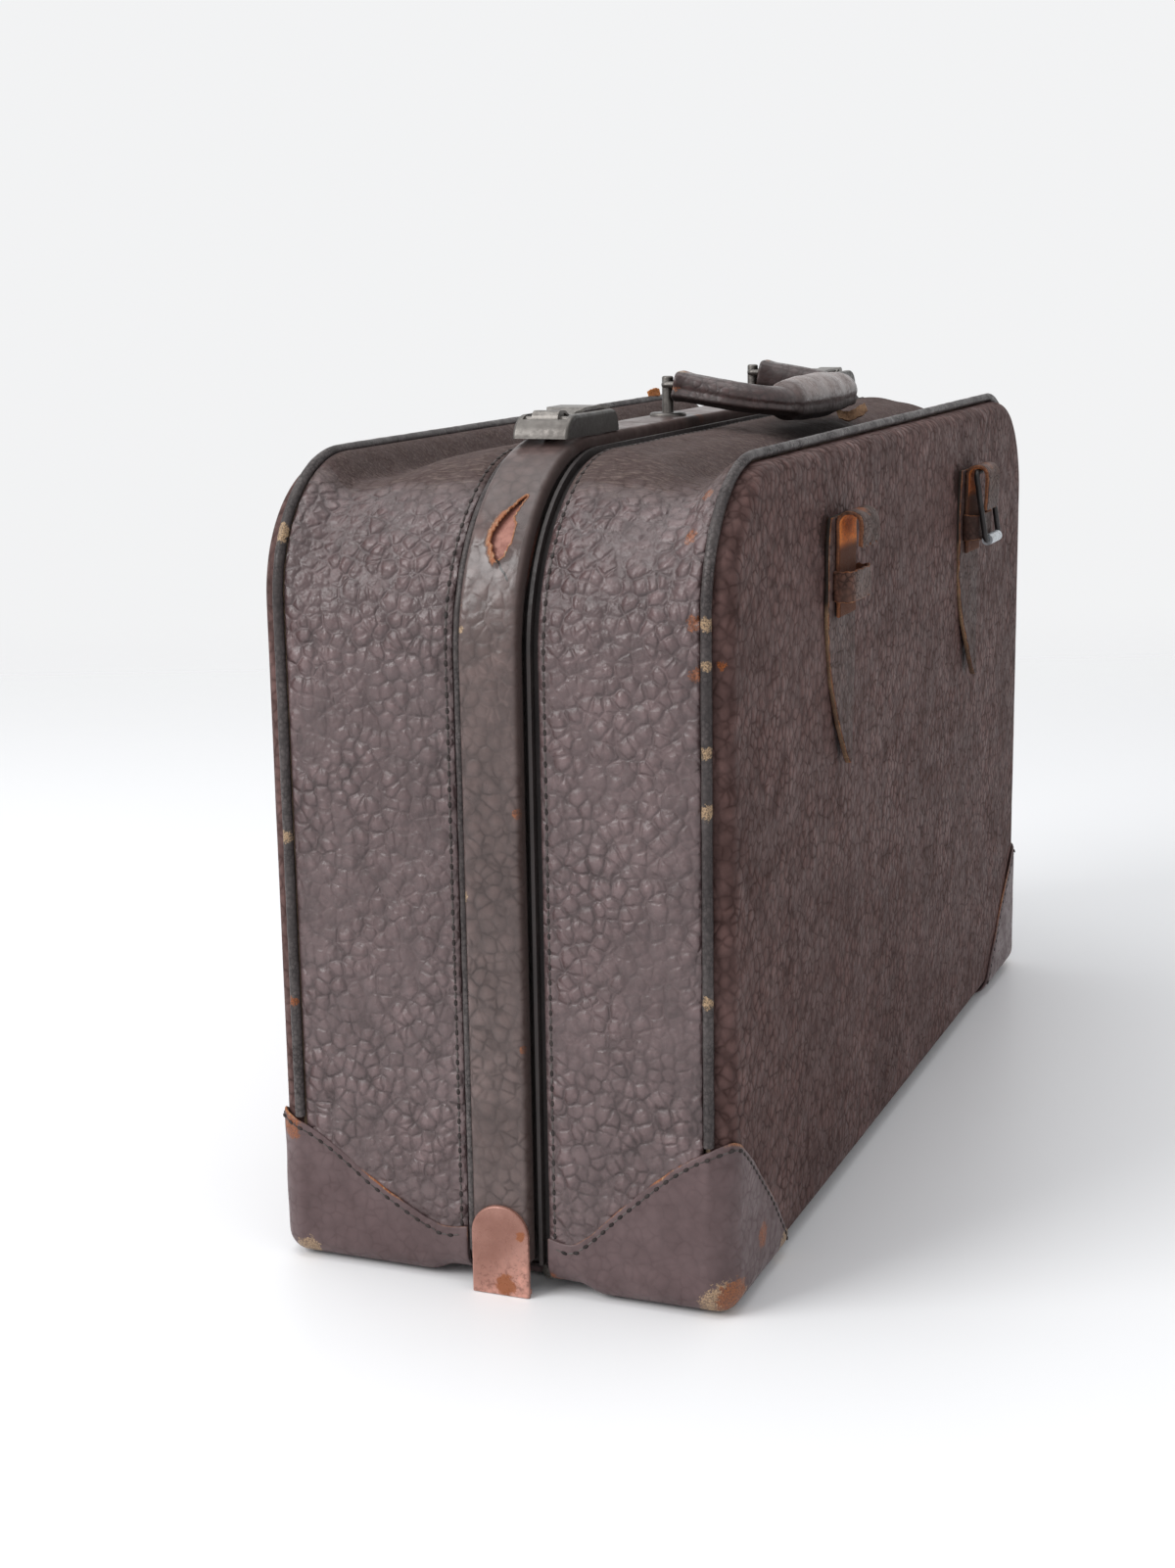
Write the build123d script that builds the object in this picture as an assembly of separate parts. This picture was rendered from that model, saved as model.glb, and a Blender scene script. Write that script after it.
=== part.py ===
from build123d import *
import os
from math import cos, radians, sin

# A framed leather suitcase that opens in two halves, hinged along the base.
# Millimetres. X runs along the case, the front face looks to -Y, Z is up from the floor.

# overall case
case_length = 610.0          # over the piping, end to end
case_depth = 212.0           # over the piping, front to rear
case_height = 387.0          # floor to the top of the piping
top_radius = 68.0            # top corners of both faces
bottom_radius = 16.0         # bottom corners of both faces
bead_radius = 2.5            # piping round each face
leather = 2.5                # gusset leather
panel_proud = 8.0            # padded face beyond the piping
panel_roll = 7.0             # rounded rim of the padded face
panel_leather = 2.3
panel_wall = 7.5             # turned edge of the padded face
rim_width = 2.4              # stiff rim that carries the turned edge
rim_joint = 0.4              # where its lengths butt together
board_thickness = 3.0        # stiffener board behind each face
lining_thickness = 1.0
seat_gap = 0.2               # pieces that only lie against each other
gusset_dip = 14.5            # how far the top leather sags between frame and face
dip_from_face = 22.0         # the sag is deepest this far inside the piping plane

# frame and band
sheet = 1.3                  # steel of the two frames
band_width = 29.0
band_centre = -3.5           # the band's middle, from the mid plane of the case
band_proud = 6.5             # band surface above the gusset leather
band_leather = 1.25
frame_radius = 86.0          # top corners of the frames
frame_bottom_radius = 10.0
frame_base = 4.3             # underside of the leather at the parting line
base_slope = 14.0            # over which the base comes down to the floor
tear_top = 372.0             # split in the band's leather, near the top of the left end
tear_length = 30.5
tear_width = 12.2
flange_width = 14.0          # steel flange under each gusset's edge
welt_width = 4.6
welt_proud = 1.8
parting_gap = 2.4            # dark gap between the band and the front lip
lip_thickness = 1.8
lip_proud = 1.5
lip_groove = 2.4             # groove between the lip and the front gusset
tongue_reach = 7.4           # front frame's inner tongue, into the rear frame
tongue_clearance = 0.6

# hinges
hinge_offset = 1.0           # hinge axis in front of the band's front edge
hinge_height = 4.0
knuckle_radius = 3.4
hinge_pin_radius = 1.5
running_clearance = 0.05
hinge_length = 50.0
hinge_inset = 14.0           # hinge end inside the gusset's end face
leaf_thickness = 1.6
leaf_reach = 23.0
knuckle_gap = 0.2
rivet_radius = 1.5
rivet_head = 2.8
rivet_head_height = 0.9

# end shoes over the foot of the band
shoe_height = 43.4
shoe_thickness = 2.1
shoe_toe_clear = 1.0         # turned in under the band as far as the front half's patches allow

# corner patches
patch_leather = 1.6
patch_height_front = 84.0
patch_height_rear = 74.0
patch_foot = 28.0            # height where the patch meets the frame
patch_length = 87.0          # along the face
patch_edge_radius = 10.0
patch_clear = 0.15
floor_gap = 0.3              # the patch's lower edge above the floor

# lever locks
lock_inset = 93.0            # lock centre from the end of the case
lock_length = 64.0
lock_width = 28.0
lock_height = 10.5
lock_sheet = 1.2
lever_sheet = 1.3
lever_heel_radius = 4.2
lever_pin_radius = 1.6
lever_width = 13.0
wing_width = 20.0
pivot_inset = 10.0           # pin from the outer end of the lock
lever_arm = 36.0             # pivot to tongue
lever_length = 57.0          # pivot to the wing's tip
latch_tongue_thickness = 3.0
latch_tongue_width = 6.0
latch_clear = 0.8            # slots round the tongue
catch_thickness = 1.5
catch_width = 14.0
catch_lift = 1.1             # open gap between the tongue's tip and the catch

# handle
post_spacing = 144.0
post_radius = 3.0
post_height = 20.7           # above the band
eye_below_top = 4.2
link_radius = 1.65
link_width = 14.0
link_length = 8.0
rosette_radius = 9.5
rosette_height = 2.0
arm_radius = 8.5
arm_drop = 9.5
handle_reach = 57.5          # eye axis to the middle of the grip
handle_corner = 24.0
grip_radius = 12.5
grip_half_length = 52.0

# strap remains on the front face
strap_inset = 168.0          # strap centre from the end of the case
strap_drop = 38.0            # top of the backing below the top of the case
leaf_width = 50.0
leaf_length = 123.0
leaf_leather = 3.0
leaf_curl = 5.0
chape_width = 30.0
chape_leather = 2.4
chape_loop_radius = 4.6      # inside the loop
chape_loop_drop = 4.0        # centre of the loop below the top of the backing
chape_tail = 8.0             # chape below the keeper
left_flap = 11.0             # torn end below the loop's centre
right_flap = 20.0
keeper_height = 15.0
keeper_drop = 22.0           # top of the keeper below the loop's centre
keeper_stand = 9.5
keeper_leather = 2.0
buckle_wire = 1.6
buckle_width = 35.0
buckle_length = 40.0
buckle_tilt = 9.0            # leans off the keeper
roller_radius = 3.2

parts = {}

# planes and levels that several pieces share
half_length = case_length / 2 - bead_radius
band_front = band_centre - band_width / 2
band_rear = band_centre + band_width / 2
lip_rear = band_front - parting_gap
lip_front = lip_rear - lip_thickness
front_gusset_start = lip_front - lip_groove
rear_gusset_start = band_rear + seat_gap + welt_width + seat_gap
bead_line = case_depth / 2 - bead_radius
gusset_end = case_depth / 2 - 2 * bead_radius - 0.1
face_line = case_depth / 2 + panel_proud
gusset_top = case_height - bead_radius
leaf_top = case_height - strap_drop
chape_loop_height = leaf_top - chape_loop_drop
keeper_base = chape_loop_height - keeper_drop - keeper_height
chape_foot = keeper_base - chape_tail
band_top = gusset_top + band_proud
hinge_y = band_front - hinge_offset
flange_top = leather + 0.1                 # steel lies just under the leather
flange_bottom = flange_top + 1.5
flange_rear_end = rear_gusset_start + flange_width - 6.0
flange_front_end = front_gusset_start - flange_width + 2.5
panel_inset = 2 * bead_radius + seat_gap
leaf_z = frame_base + flange_bottom + 0.1  # underside of the hinge leaves
lining_rise = leaf_z + leaf_thickness + rivet_head_height + seat_gap - frame_base


def outline(half, base, top, upper, lower):
    # a face of the case seen from the front, drawn in local X and Y
    shape = Pos(0, (base + top) / 2) * Rectangle(2 * half, top - base)
    shape = fillet(shape.vertices().group_by(Axis.Y)[-1], upper)
    return fillet(shape.vertices().group_by(Axis.Y)[0], lower)


def upright(y, shape):
    return Plane(origin=(0, y, 0), x_dir=(1, 0, 0), z_dir=(0, -1, 0)) * shape


def slab(shape, y_from, y_to):
    return extrude(upright(y_from, shape), amount=y_to - y_from, dir=(0, 1, 0))


def frame_outline(rise):
    # the frame's outline, raised above the gusset leather by rise
    return outline(
        half_length + rise,
        frame_base - rise,
        gusset_top + rise,
        frame_radius + rise,
        frame_bottom_radius + rise,
    )


def frame_ring(rise_in, rise_out, y_from, y_to):
    return slab(frame_outline(rise_out), y_from, y_to) - slab(frame_outline(rise_in), y_from, y_to)


def block(x_from, x_to, y_from, y_to, z_from, z_to):
    size = (abs(x_to - x_from), abs(y_to - y_from), abs(z_to - z_from))
    middle = ((x_from + x_to) / 2, (y_from + y_to) / 2, (z_from + z_to) / 2)
    return Pos(*middle) * Box(*size)


def rod(x_from, x_to, y, z, radius):
    # round bar along X
    middle = Pos((x_from + x_to) / 2, y, z)
    return middle * Rot(0, 90, 0) * Cylinder(radius, abs(x_to - x_from))


def cross_rod(x, y_from, y_to, z, radius):
    # round bar along Y
    middle = Pos(x, (y_from + y_to) / 2, z)
    return middle * Rot(90, 0, 0) * Cylinder(radius, abs(y_to - y_from))


def wire_loop(corners, corner_radius, radius):
    # closed loop of round wire
    path = FilletPolyline(*corners, radius=corner_radius, close=True)
    return sweep(Plane(origin=path @ 0, z_dir=path % 0) * Circle(radius), path=path)


def above(solid, z):
    return solid & block(-case_length, case_length, -case_depth, case_depth, z, 2 * case_height)


def mirrored(solid):
    return mirror(solid, about=Plane.YZ)


def pair(name, solid):
    parts["left_" + name] = solid
    parts["right_" + name] = mirrored(solid)


# Leather round the sides: straight over the frame, sagging at the top towards the face.
def gusset_section(side, y, top_drop, base, upper, lower, inside):
    return upright(
        side * y,
        outline(
            half_length - inside,
            base + inside,
            gusset_top - top_drop - inside,
            upper - inside,
            lower - inside,
        ),
    ).face()


def gusset(side, start, flange_end):
    # side is 1 for the rear half and -1 for the front half, start and end are distances from mid plane
    deepest = case_depth / 2 - dip_from_face
    bead_upper = top_radius - bead_radius
    bead_lower = bottom_radius - bead_radius
    settle = flange_end + base_slope
    stations = [
        (start, 0.0, frame_base, frame_radius, frame_bottom_radius),
        (flange_end, 0.0, frame_base, frame_radius, frame_bottom_radius),
        (settle, 0.2 * gusset_dip, 0.0, frame_radius - 6.0, bead_lower),
        (deepest, gusset_dip, 0.0, bead_upper - 4.0, bead_lower),
        (gusset_end, 0.0, 0.0, bead_upper, bead_lower),
    ]
    outer = [gusset_section(side, *station, 0.0) for station in stations]
    inner = [gusset_section(side, *station, leather) for station in stations]
    return loft(outer, ruled=True) - loft(inner, ruled=True)


def lining(side, start, flange_end):
    # cloth tray inside the gusset, its flat against the stiffener board
    face = face_line - panel_leather - seat_gap - board_thickness - seat_gap
    deepest = case_depth / 2 - dip_from_face
    stations = [
        (start, lining_rise, frame_base + lining_rise, frame_radius - lining_rise),
        (flange_end + base_slope, lining_rise + 0.2 * gusset_dip, frame_base + lining_rise, frame_radius - 16.0),
        (deepest, gusset_dip + leather + 0.8, frame_base + lining_rise, top_radius - 14.0),
        (face, gusset_dip + leather + 0.8, frame_base + lining_rise, top_radius - 14.0),
    ]
    solids = []
    for inside, shorter in ((0.0, 0.0), (lining_thickness, lining_thickness)):
        sections = []
        for y, drop, base, upper in stations:
            reach = y - shorter if y == face else y
            shape = outline(
                half_length - flange_bottom - 1.6 - inside,
                base + inside,
                gusset_top - drop - inside,
                upper - inside,
                frame_bottom_radius - inside,
            )
            sections.append(upright(side * reach, shape).face())
        solids.append(loft(sections, ruled=True))
    return solids[0] - solids[1]


def panel(side):
    # padded leather face, a tray with a rolled rim
    def tray(inset, reach, roll):
        shape = outline(
            case_length / 2 - inset,
            inset,
            case_height - inset,
            top_radius - inset,
            bottom_radius - inset,
        )
        solid = slab(shape, side * (face_line - panel_wall), side * reach)
        rim = solid.faces().sort_by(Axis.Y)[0 if side < 0 else -1].edges()
        return fillet(rim, roll)

    return tray(panel_inset, face_line, panel_roll) - tray(
        panel_inset + panel_leather, face_line - panel_leather, panel_roll - panel_leather
    )


def rim(side):
    # stiff strip between the gusset's edge and the padded face, in straight and bent lengths
    def ring(inset):
        return outline(
            case_length / 2 - inset, inset, case_height - inset, top_radius - inset, bottom_radius - inset
        )

    y_from, y_to = side * (gusset_end + seat_gap), side * (face_line - panel_wall - seat_gap)
    outer = panel_inset + seat_gap
    strip = slab(ring(outer), y_from, y_to) - slab(ring(outer + rim_width), y_from, y_to)
    y_from, y_to, half_joint = side * gusset_end, side * face_line, rim_joint / 2
    for radius, bend_z, edge_z in (
        (top_radius, case_height - top_radius, case_height),
        (bottom_radius, bottom_radius, 0),
    ):
        strip -= block(-case_length, case_length, y_from, y_to, bend_z - half_joint, bend_z + half_joint)
        for x in (radius - case_length / 2, case_length / 2 - radius):
            strip -= block(x - half_joint, x + half_joint, y_from, y_to, bend_z, edge_z)
    return strip


def board(side):
    inset = panel_inset + panel_roll + seat_gap
    outer_face = face_line - panel_leather - seat_gap
    shape = outline(
        case_length / 2 - inset, inset, case_height - inset, top_radius - inset, bottom_radius / 2
    )
    return slab(shape, side * (outer_face - board_thickness), side * outer_face)


def patch_end_region(side, height, start, flange_end):
    # what the corner patch covers on the end of the case, under its S-shaped edge
    edge = face_line + patch_leather + 1.0
    foot = frame_base + floor_gap
    shape = make_face(
        [
            Line((start, foot), (flange_end, foot)),
            Line((flange_end, foot), (flange_end + base_slope, floor_gap)),
            Line((flange_end + base_slope, floor_gap), (edge, floor_gap)),
            Line((edge, floor_gap), (edge, height)),
            Spline(
                (edge, height),
                (face_line - 24.0, 0.86 * height),
                (face_line - 50.0, 0.5 * height + 8.0),
                (start + 14.0, patch_foot - 1.0),
                (start, patch_foot),
            ),
            Line((start, patch_foot), (start, foot)),
        ]
    )
    plane = Plane(origin=(-half_length + 9.0, 0, 0), x_dir=(0, side, 0), z_dir=(side, 0, 0))
    return extrude(plane * shape, amount=30.0, dir=(-1, 0, 0))


def patch_face_region(side, height):
    # what it covers on the face of the case
    corner = -case_length / 2 - patch_leather
    tip = -case_length / 2 + patch_length
    shape = make_face(
        [
            Line((corner, floor_gap), (tip, floor_gap)),
            Spline(
                (tip, floor_gap),
                (tip - 5.0, 0.16 * height),
                (tip - 0.45 * patch_length, 0.6 * height),
                (corner + 12.0, 0.96 * height),
                (corner, height),
            ),
            Line((corner, height), (corner, floor_gap)),
        ]
    )
    return extrude(upright(side * (face_line - 9.0), shape), amount=30.0, dir=(0, side, 0))


def corner_patch(side, height, start, flange_end):
    # leather sewn round the bottom corner, its edge an S on the end and on the face
    def shell(grow):
        x = half_length + patch_clear + grow
        y = face_line + patch_clear + grow
        shape = Pos(0, side * y / 2) * Rectangle(2 * x, y)
        shape = fillet(shape.vertices().group_by(Axis.Y)[-1 if side > 0 else 0], patch_edge_radius + grow)
        solid = Pos(0, 0, -grow) * extrude(shape, amount=2 * height)
        base = solid.faces().sort_by(Axis.Z)[0].edges()
        return fillet(base.filter_by(lambda e: abs(e.center().Y) > 1.0), patch_edge_radius + grow)

    wall = shell(patch_leather) - shell(0.0)
    end = patch_end_region(side, height, start, flange_end)
    return (wall & end) + (wall & patch_face_region(side, height))


def piping(side, height, start, flange_end):
    # one bead over the top that stops at the corner patches, one along the base between them
    x = case_length / 2 - bead_radius
    y = side * bead_line
    top = case_height - bead_radius
    foot = 0.6 * height
    corner = top_radius - bead_radius
    path = FilletPolyline((-x, y, foot), (-x, y, top), (x, y, top), (x, y, foot), radius=corner)
    over = sweep(Plane(origin=(-x, y, foot), z_dir=(0, 0, 1)) * Circle(bead_radius), path=path)
    covered = patch_end_region(side, height, start, flange_end) + patch_face_region(side, height)
    patch = Pos(0, 0, seat_gap) * covered
    end = case_length / 2 - patch_length - seat_gap
    return Compound([over - patch - mirrored(patch), rod(-end, end, y, bead_radius, bead_radius)])


# Rear half: the band rides on a hat-shaped steel frame that also houses the catches.
lock_x = -case_length / 2 + lock_inset
pivot_x = lock_x - lock_length / 2 + pivot_inset
pivot_z = band_top + lock_height - 2.3
tongue_x = pivot_x + lever_arm
catch_top = gusset_top + 1.0
tongue_tip = catch_top + catch_lift
slot_from = tongue_x - latch_tongue_thickness / 2 - latch_clear - 1.2
slot_to = tongue_x + latch_tongue_thickness / 2 + latch_clear + 1.4
hat_foot = 16.0
catch_slot_half = catch_width / 2 + 1.0


def tongue_slot(x_from, x_to, z_from, z_to):
    half = latch_tongue_width / 2 + latch_clear
    return block(x_from, x_to, band_centre - half, band_centre + half, z_from, z_to)


def catch_slot():
    # where the catch comes in through the front wall of the frame and its cover
    rise = gusset_top + 2.3
    return block(
        tongue_x - catch_slot_half,
        tongue_x + catch_slot_half,
        band_front - 1.0,
        band_front + band_leather + sheet + 1.0,
        gusset_top - flange_bottom - 1.0,
        rise,
    )


def both_sides(solid):
    return solid + mirrored(solid)


def post_hole(radius):
    hole = Pos(-post_spacing / 2, band_centre, band_top) * Cylinder(radius, 60.0)
    return both_sides(hole)


def rear_frame():
    front_wall = band_front + band_leather + 0.05
    rear_wall = band_rear - band_leather - 0.05
    crown = band_proud - band_leather - 0.05
    hat = frame_ring(crown - sheet, crown, front_wall, rear_wall)
    hat += frame_ring(-flange_bottom, crown, front_wall, front_wall + sheet)
    hat += frame_ring(-flange_bottom, crown, rear_wall - sheet, rear_wall)
    hat = above(hat, hat_foot)
    flange = frame_ring(-flange_bottom, -flange_top, rear_wall - sheet, flange_rear_end)
    sill_depth = front_wall + sheet
    sill = block(
        -half_length + 12.0,
        half_length - 12.0,
        sill_depth,
        rear_wall,
        frame_base + flange_top,
        frame_base + flange_bottom,
    )
    slots = tongue_slot(slot_from, slot_to, gusset_top, band_top) + catch_slot()
    return hat + flange + sill - both_sides(slots) - post_hole(post_radius + 0.1) - rivet_holes(1)


def band_cover():
    # leather wrapped over the steel band, split open near the top of the left end
    solid = slab(frame_outline(band_proud), band_front, band_rear)
    long_edges = solid.faces().sort_by(Axis.Y)[0].edges() + solid.faces().sort_by(Axis.Y)[-1].edges()
    solid = fillet(long_edges, 1.6)
    core = slab(frame_outline(band_proud - band_leather), band_front + band_leather, band_rear - band_leather)
    under = slab(frame_outline(0.0), band_front - 1.0, band_rear + 1.0)
    slots = tongue_slot(slot_from, slot_to, gusset_top, band_top + 1.0) + catch_slot()
    cover = above(solid - core - under, hat_foot)
    return cover - both_sides(slots) - post_hole(post_radius + 0.1) - band_tear()


def band_tear():
    # the split in the leather where it bends over the corner
    front = band_centre - 9.5
    rear = front + tear_width
    bottom = tear_top - tear_length
    tip = (front + 0.57 * tear_width, bottom)
    shape = make_face(
        [
            Spline(
                (front, tear_top),
                (front + 0.7 * tear_width, tear_top - 0.36 * tear_length),
                (rear, tear_top - 0.62 * tear_length),
                tip,
            ),
            Spline(
                tip,
                (front + 1.5, bottom + 0.31 * tear_length),
                (front + 2.0, bottom + 0.61 * tear_length),
                (front, tear_top),
            ),
        ]
    )
    plane = Plane(origin=(-half_length + 30.0, 0, 0), x_dir=(0, 1, 0), z_dir=(1, 0, 0))
    return extrude(plane * shape, amount=60.0, dir=(-1, 0, 0))


def welt():
    start = band_rear + seat_gap
    return above(frame_ring(-leather, welt_proud, start, start + welt_width), hat_foot)


def base_strip():
    return block(
        -half_length + 12.0,
        half_length - 12.0,
        band_front + band_leather + sheet + seat_gap,
        rear_gusset_start - seat_gap,
        frame_base,
        frame_base + leather,
    )


def shoe():
    outer = half_length + band_proud + seat_gap + shoe_thickness
    inner = outer - shoe_thickness
    width = band_width - 0.4
    tab = Pos(0, shoe_height / 2) * Rectangle(width, shoe_height)
    tab = fillet(tab.vertices().group_by(Axis.Y)[-1], width / 2 - 0.2)
    plane = Plane(origin=(-inner, band_centre, 0), x_dir=(0, -1, 0), z_dir=(-1, 0, 0))
    solid = extrude(plane * tab, amount=shoe_thickness)
    rim = solid.faces().sort_by(Axis.X)[0].edges().filter_by(lambda e: e.center().Z > 1.0)
    solid = fillet(rim, 1.0)
    toe_end = half_length + patch_clear + patch_leather + shoe_toe_clear
    toe = block(
        -inner, -toe_end, band_centre - width / 2 + 1.0, band_centre + width / 2 - 1.0, 0, shoe_thickness
    )
    return solid + toe


def front_frame():
    lip = frame_ring(-flange_bottom - tongue_clearance - sheet, lip_proud, lip_front, lip_rear)
    tongue = frame_ring(
        -flange_bottom - tongue_clearance - sheet,
        -flange_bottom - tongue_clearance,
        lip_front,
        lip_rear + tongue_reach,
    )
    flange = frame_ring(-flange_bottom, -flange_top, flange_front_end, lip_front)
    sill_cut = block(
        -case_length, case_length, hinge_y - knuckle_radius - 0.3, 0, -5.0, hat_foot - 2.0
    )
    return above(lip + tongue, hat_foot - 2.0) + (flange - sill_cut) - rivet_holes(-1)


# Hinges: two short butt hinges inside the ends, on the parting line.
hinge_to = half_length - hinge_inset
hinge_from = hinge_to - hinge_length


def hinge_knuckles():
    third = hinge_length / 4
    rear = [(hinge_from, hinge_from + third), (hinge_to - third, hinge_to)]
    front = [(hinge_from + third + knuckle_gap, hinge_to - third - knuckle_gap)]
    return rear, front


def rivet_places(side):
    edge = hinge_y + side * (knuckle_radius + 0.2)
    y = edge + side * leaf_reach * 0.55
    return [(x, y) for x in (hinge_from + 9.0, hinge_to - 9.0)]


def rivet_holes(side):
    holes = None
    for x, y in rivet_places(side):
        hole = Pos(-x, y, leaf_z) * Cylinder(rivet_radius + running_clearance, 12.0)
        holes = hole if holes is None else holes + hole
    return both_sides(holes)


def hinge_leaf(side):
    intervals = hinge_knuckles()[0 if side > 0 else 1]
    edge = hinge_y + side * (knuckle_radius + 0.2)
    web_edge = edge - side * 0.1
    leaf = block(-hinge_to, -hinge_from, edge, edge + side * leaf_reach, leaf_z, leaf_z + leaf_thickness)
    for x_from, x_to in intervals:
        leaf += block(
            -x_to, -x_from, web_edge - side * leaf_thickness, edge, hinge_height, leaf_z + leaf_thickness
        )
        leaf += rod(-x_to, -x_from, hinge_y, hinge_height, knuckle_radius)
    leaf -= rod(-hinge_to - 1, -hinge_from + 1, hinge_y, hinge_height, hinge_pin_radius + running_clearance)
    for x, y in rivet_places(side):
        leaf -= Pos(-x, y, leaf_z) * Cylinder(rivet_radius + running_clearance, 12.0)
    return leaf


def hinge_pin():
    head = 0.8
    pin = rod(-hinge_to - head, -hinge_from + head, hinge_y, hinge_height, hinge_pin_radius)
    cap_radius = hinge_pin_radius + 0.7
    for x_from, x_to in ((-hinge_to - head, -hinge_to - 0.1), (-hinge_from + 0.1, -hinge_from + head)):
        pin += rod(x_from, x_to, hinge_y, hinge_height, cap_radius)
    return pin


def hinge_rivets(side):
    rivets = []
    foot = frame_base + flange_top
    top = leaf_z + leaf_thickness
    for x, y in rivet_places(side):
        for sign in (-1, 1):
            shank = Pos(sign * x, y, (foot + top) / 2) * Cylinder(rivet_radius, top - foot)
            head = Pos(sign * x, y, top + rivet_head_height / 2) * Cylinder(rivet_head, rivet_head_height)
            rim = head.faces().sort_by(Axis.Z)[-1].edges()
            rivets.append(shank + fillet(rim, 0.6))
    return Compound(rivets)


# Lever locks: a stamped case, a lever on a cross pin, a tongue that drops through the catch.
def lock_profile(shrink):
    left = lock_x - lock_length / 2 + shrink
    right = lock_x + lock_length / 2 - shrink
    base = band_top + 0.05
    top = band_top + lock_height - shrink
    rise = top - base
    return make_face(
        [
            Line((left, base), (right, base)),
            ThreePointArc((right, base), (right - 1.7, base + 0.62 * rise), (right - 6.0, top)),
            Line((right - 6.0, top), (left + 12.0, top)),
            ThreePointArc((left + 12.0, top), (left + 3.5, base + 0.68 * rise), (left, base)),
        ]
    )


def lock_case():
    front = band_centre - lock_width / 2
    solid = slab(lock_profile(0.0), front, front + lock_width)
    long_edges = solid.edges().filter_by(
        lambda e: abs(e.center().Z - (band_top + lock_height)) < 0.1
        and min(abs(e.center().Y - front), abs(e.center().Y - front - lock_width)) < 0.1
    )
    solid = fillet(long_edges, 1.8)
    hollow = slab(lock_profile(lock_sheet), front + lock_sheet, front + lock_width - lock_sheet)
    hollow += block(
        lock_x - lock_length / 2 + lock_sheet,
        lock_x + lock_length / 2 - lock_sheet,
        front + lock_sheet,
        front + lock_width - lock_sheet,
        band_top,
        band_top + 0.1,
    )
    window = block(
        pivot_x - lever_heel_radius - 0.6,
        lock_x + lock_length / 2 + 1.0,
        band_centre - wing_width / 2 - 0.8,
        band_centre + wing_width / 2 + 0.8,
        band_top + 4.5,
        band_top + 2 * lock_height,
    )
    seats = cross_rod(
        pivot_x, front + 0.4, front + lock_width - 0.4, pivot_z, lever_pin_radius + running_clearance
    )
    return solid - hollow - window - seats


def lock_pin():
    reach = lock_width / 2 - 0.5
    return cross_rod(pivot_x, band_centre - reach, band_centre + reach, pivot_z, lever_pin_radius)


def lock_lever():
    # heel rolled round the pin, then a dipped strip that lifts into the finger wing
    crown = pivot_z + lever_heel_radius - lever_sheet / 2
    points = [
        (pivot_x, crown),
        (pivot_x + 5.5, crown - 0.2),
        (pivot_x + 10.0, crown - 2.6),
        (pivot_x + 16.0, crown - 2.6),
        (pivot_x + 22.0, crown + 0.2),
        (pivot_x + 40.0, crown + 0.3),
        (pivot_x + lever_length, crown - 1.0),
    ]
    strip = trace(FilletPolyline(*points, radius=2.6), line_width=lever_sheet)
    body = slab(strip, band_centre - wing_width / 2, band_centre + wing_width / 2)
    stem = Pos(pivot_x + 8.0, band_centre) * Rectangle(26.0, lever_width)
    wing_from = pivot_x + 18.0
    wing_long = pivot_x + lever_length + 0.5 - wing_from
    wing = Pos(wing_from + wing_long / 2, band_centre) * RectangleRounded(wing_long, wing_width, 5.5)
    plan = extrude(stem + wing, amount=2 * band_top)
    heel = cross_rod(
        pivot_x, band_centre - lever_width / 2, band_centre + lever_width / 2, pivot_z, lever_heel_radius
    )
    bore = cross_rod(
        pivot_x, band_centre - lever_width, band_centre + lever_width, pivot_z,
        lever_pin_radius + running_clearance,
    )
    return (body & plan) + heel - bore


def latch_tongue():
    # riveted under the wing, reaches down through the band to the catch
    crown = pivot_z + lever_heel_radius - lever_sheet + 0.2
    top = crown - 0.15
    tongue = block(
        tongue_x - latch_tongue_thickness / 2,
        tongue_x + latch_tongue_thickness / 2,
        band_centre - latch_tongue_width / 2,
        band_centre + latch_tongue_width / 2,
        tongue_tip,
        top,
    )
    foot = block(
        tongue_x - 5.0, tongue_x + 3.0, band_centre - latch_tongue_width / 2,
        band_centre + latch_tongue_width / 2, top - 1.0, top,
    )
    tip = tongue.faces().sort_by(Axis.Z)[0].edges().filter_by(Axis.Y)
    return chamfer(tip, 0.8) + foot


def lock_spring():
    # flat spring that bears on the lever's heel
    base = band_top + 0.3
    points = [
        (pivot_x + 16.0, base),
        (pivot_x + 9.0, base),
        (pivot_x - 1.0, pivot_z - lever_heel_radius - 0.6),
    ]
    strip = trace(FilletPolyline(*points, radius=3.0), line_width=0.5)
    return slab(strip, band_centre - 4.0, band_centre + 4.0)


def catch():
    top = catch_top
    plate = block(
        tongue_x - catch_width / 2,
        tongue_x + catch_width / 2,
        lip_rear + 0.1,
        band_centre + 6.0,
        top - catch_thickness,
        top,
    )
    rear_corners = plate.edges().filter_by(Axis.Z).sort_by(Axis.Y)[-2:]
    plate = fillet(rear_corners, 3.0)
    leg = block(
        tongue_x - catch_width / 2,
        tongue_x + catch_width / 2,
        lip_rear + 0.1,
        lip_rear + 0.1 + catch_thickness,
        gusset_top - flange_bottom + 0.3,
        top,
    )
    half = latch_tongue_width / 2 + latch_clear
    hole = block(
        tongue_x - latch_tongue_thickness / 2 - latch_clear - 1.3,
        tongue_x + latch_tongue_thickness / 2 + latch_clear,
        band_centre - half, band_centre + half, top - 5.0, top + 5.0,
    )
    return plate + leg - hole


# Handle: two posts through the band, a wire link in each eye, a padded leather grip.
eye_z = band_top + post_height - eye_below_top
post_x = -post_spacing / 2


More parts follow.
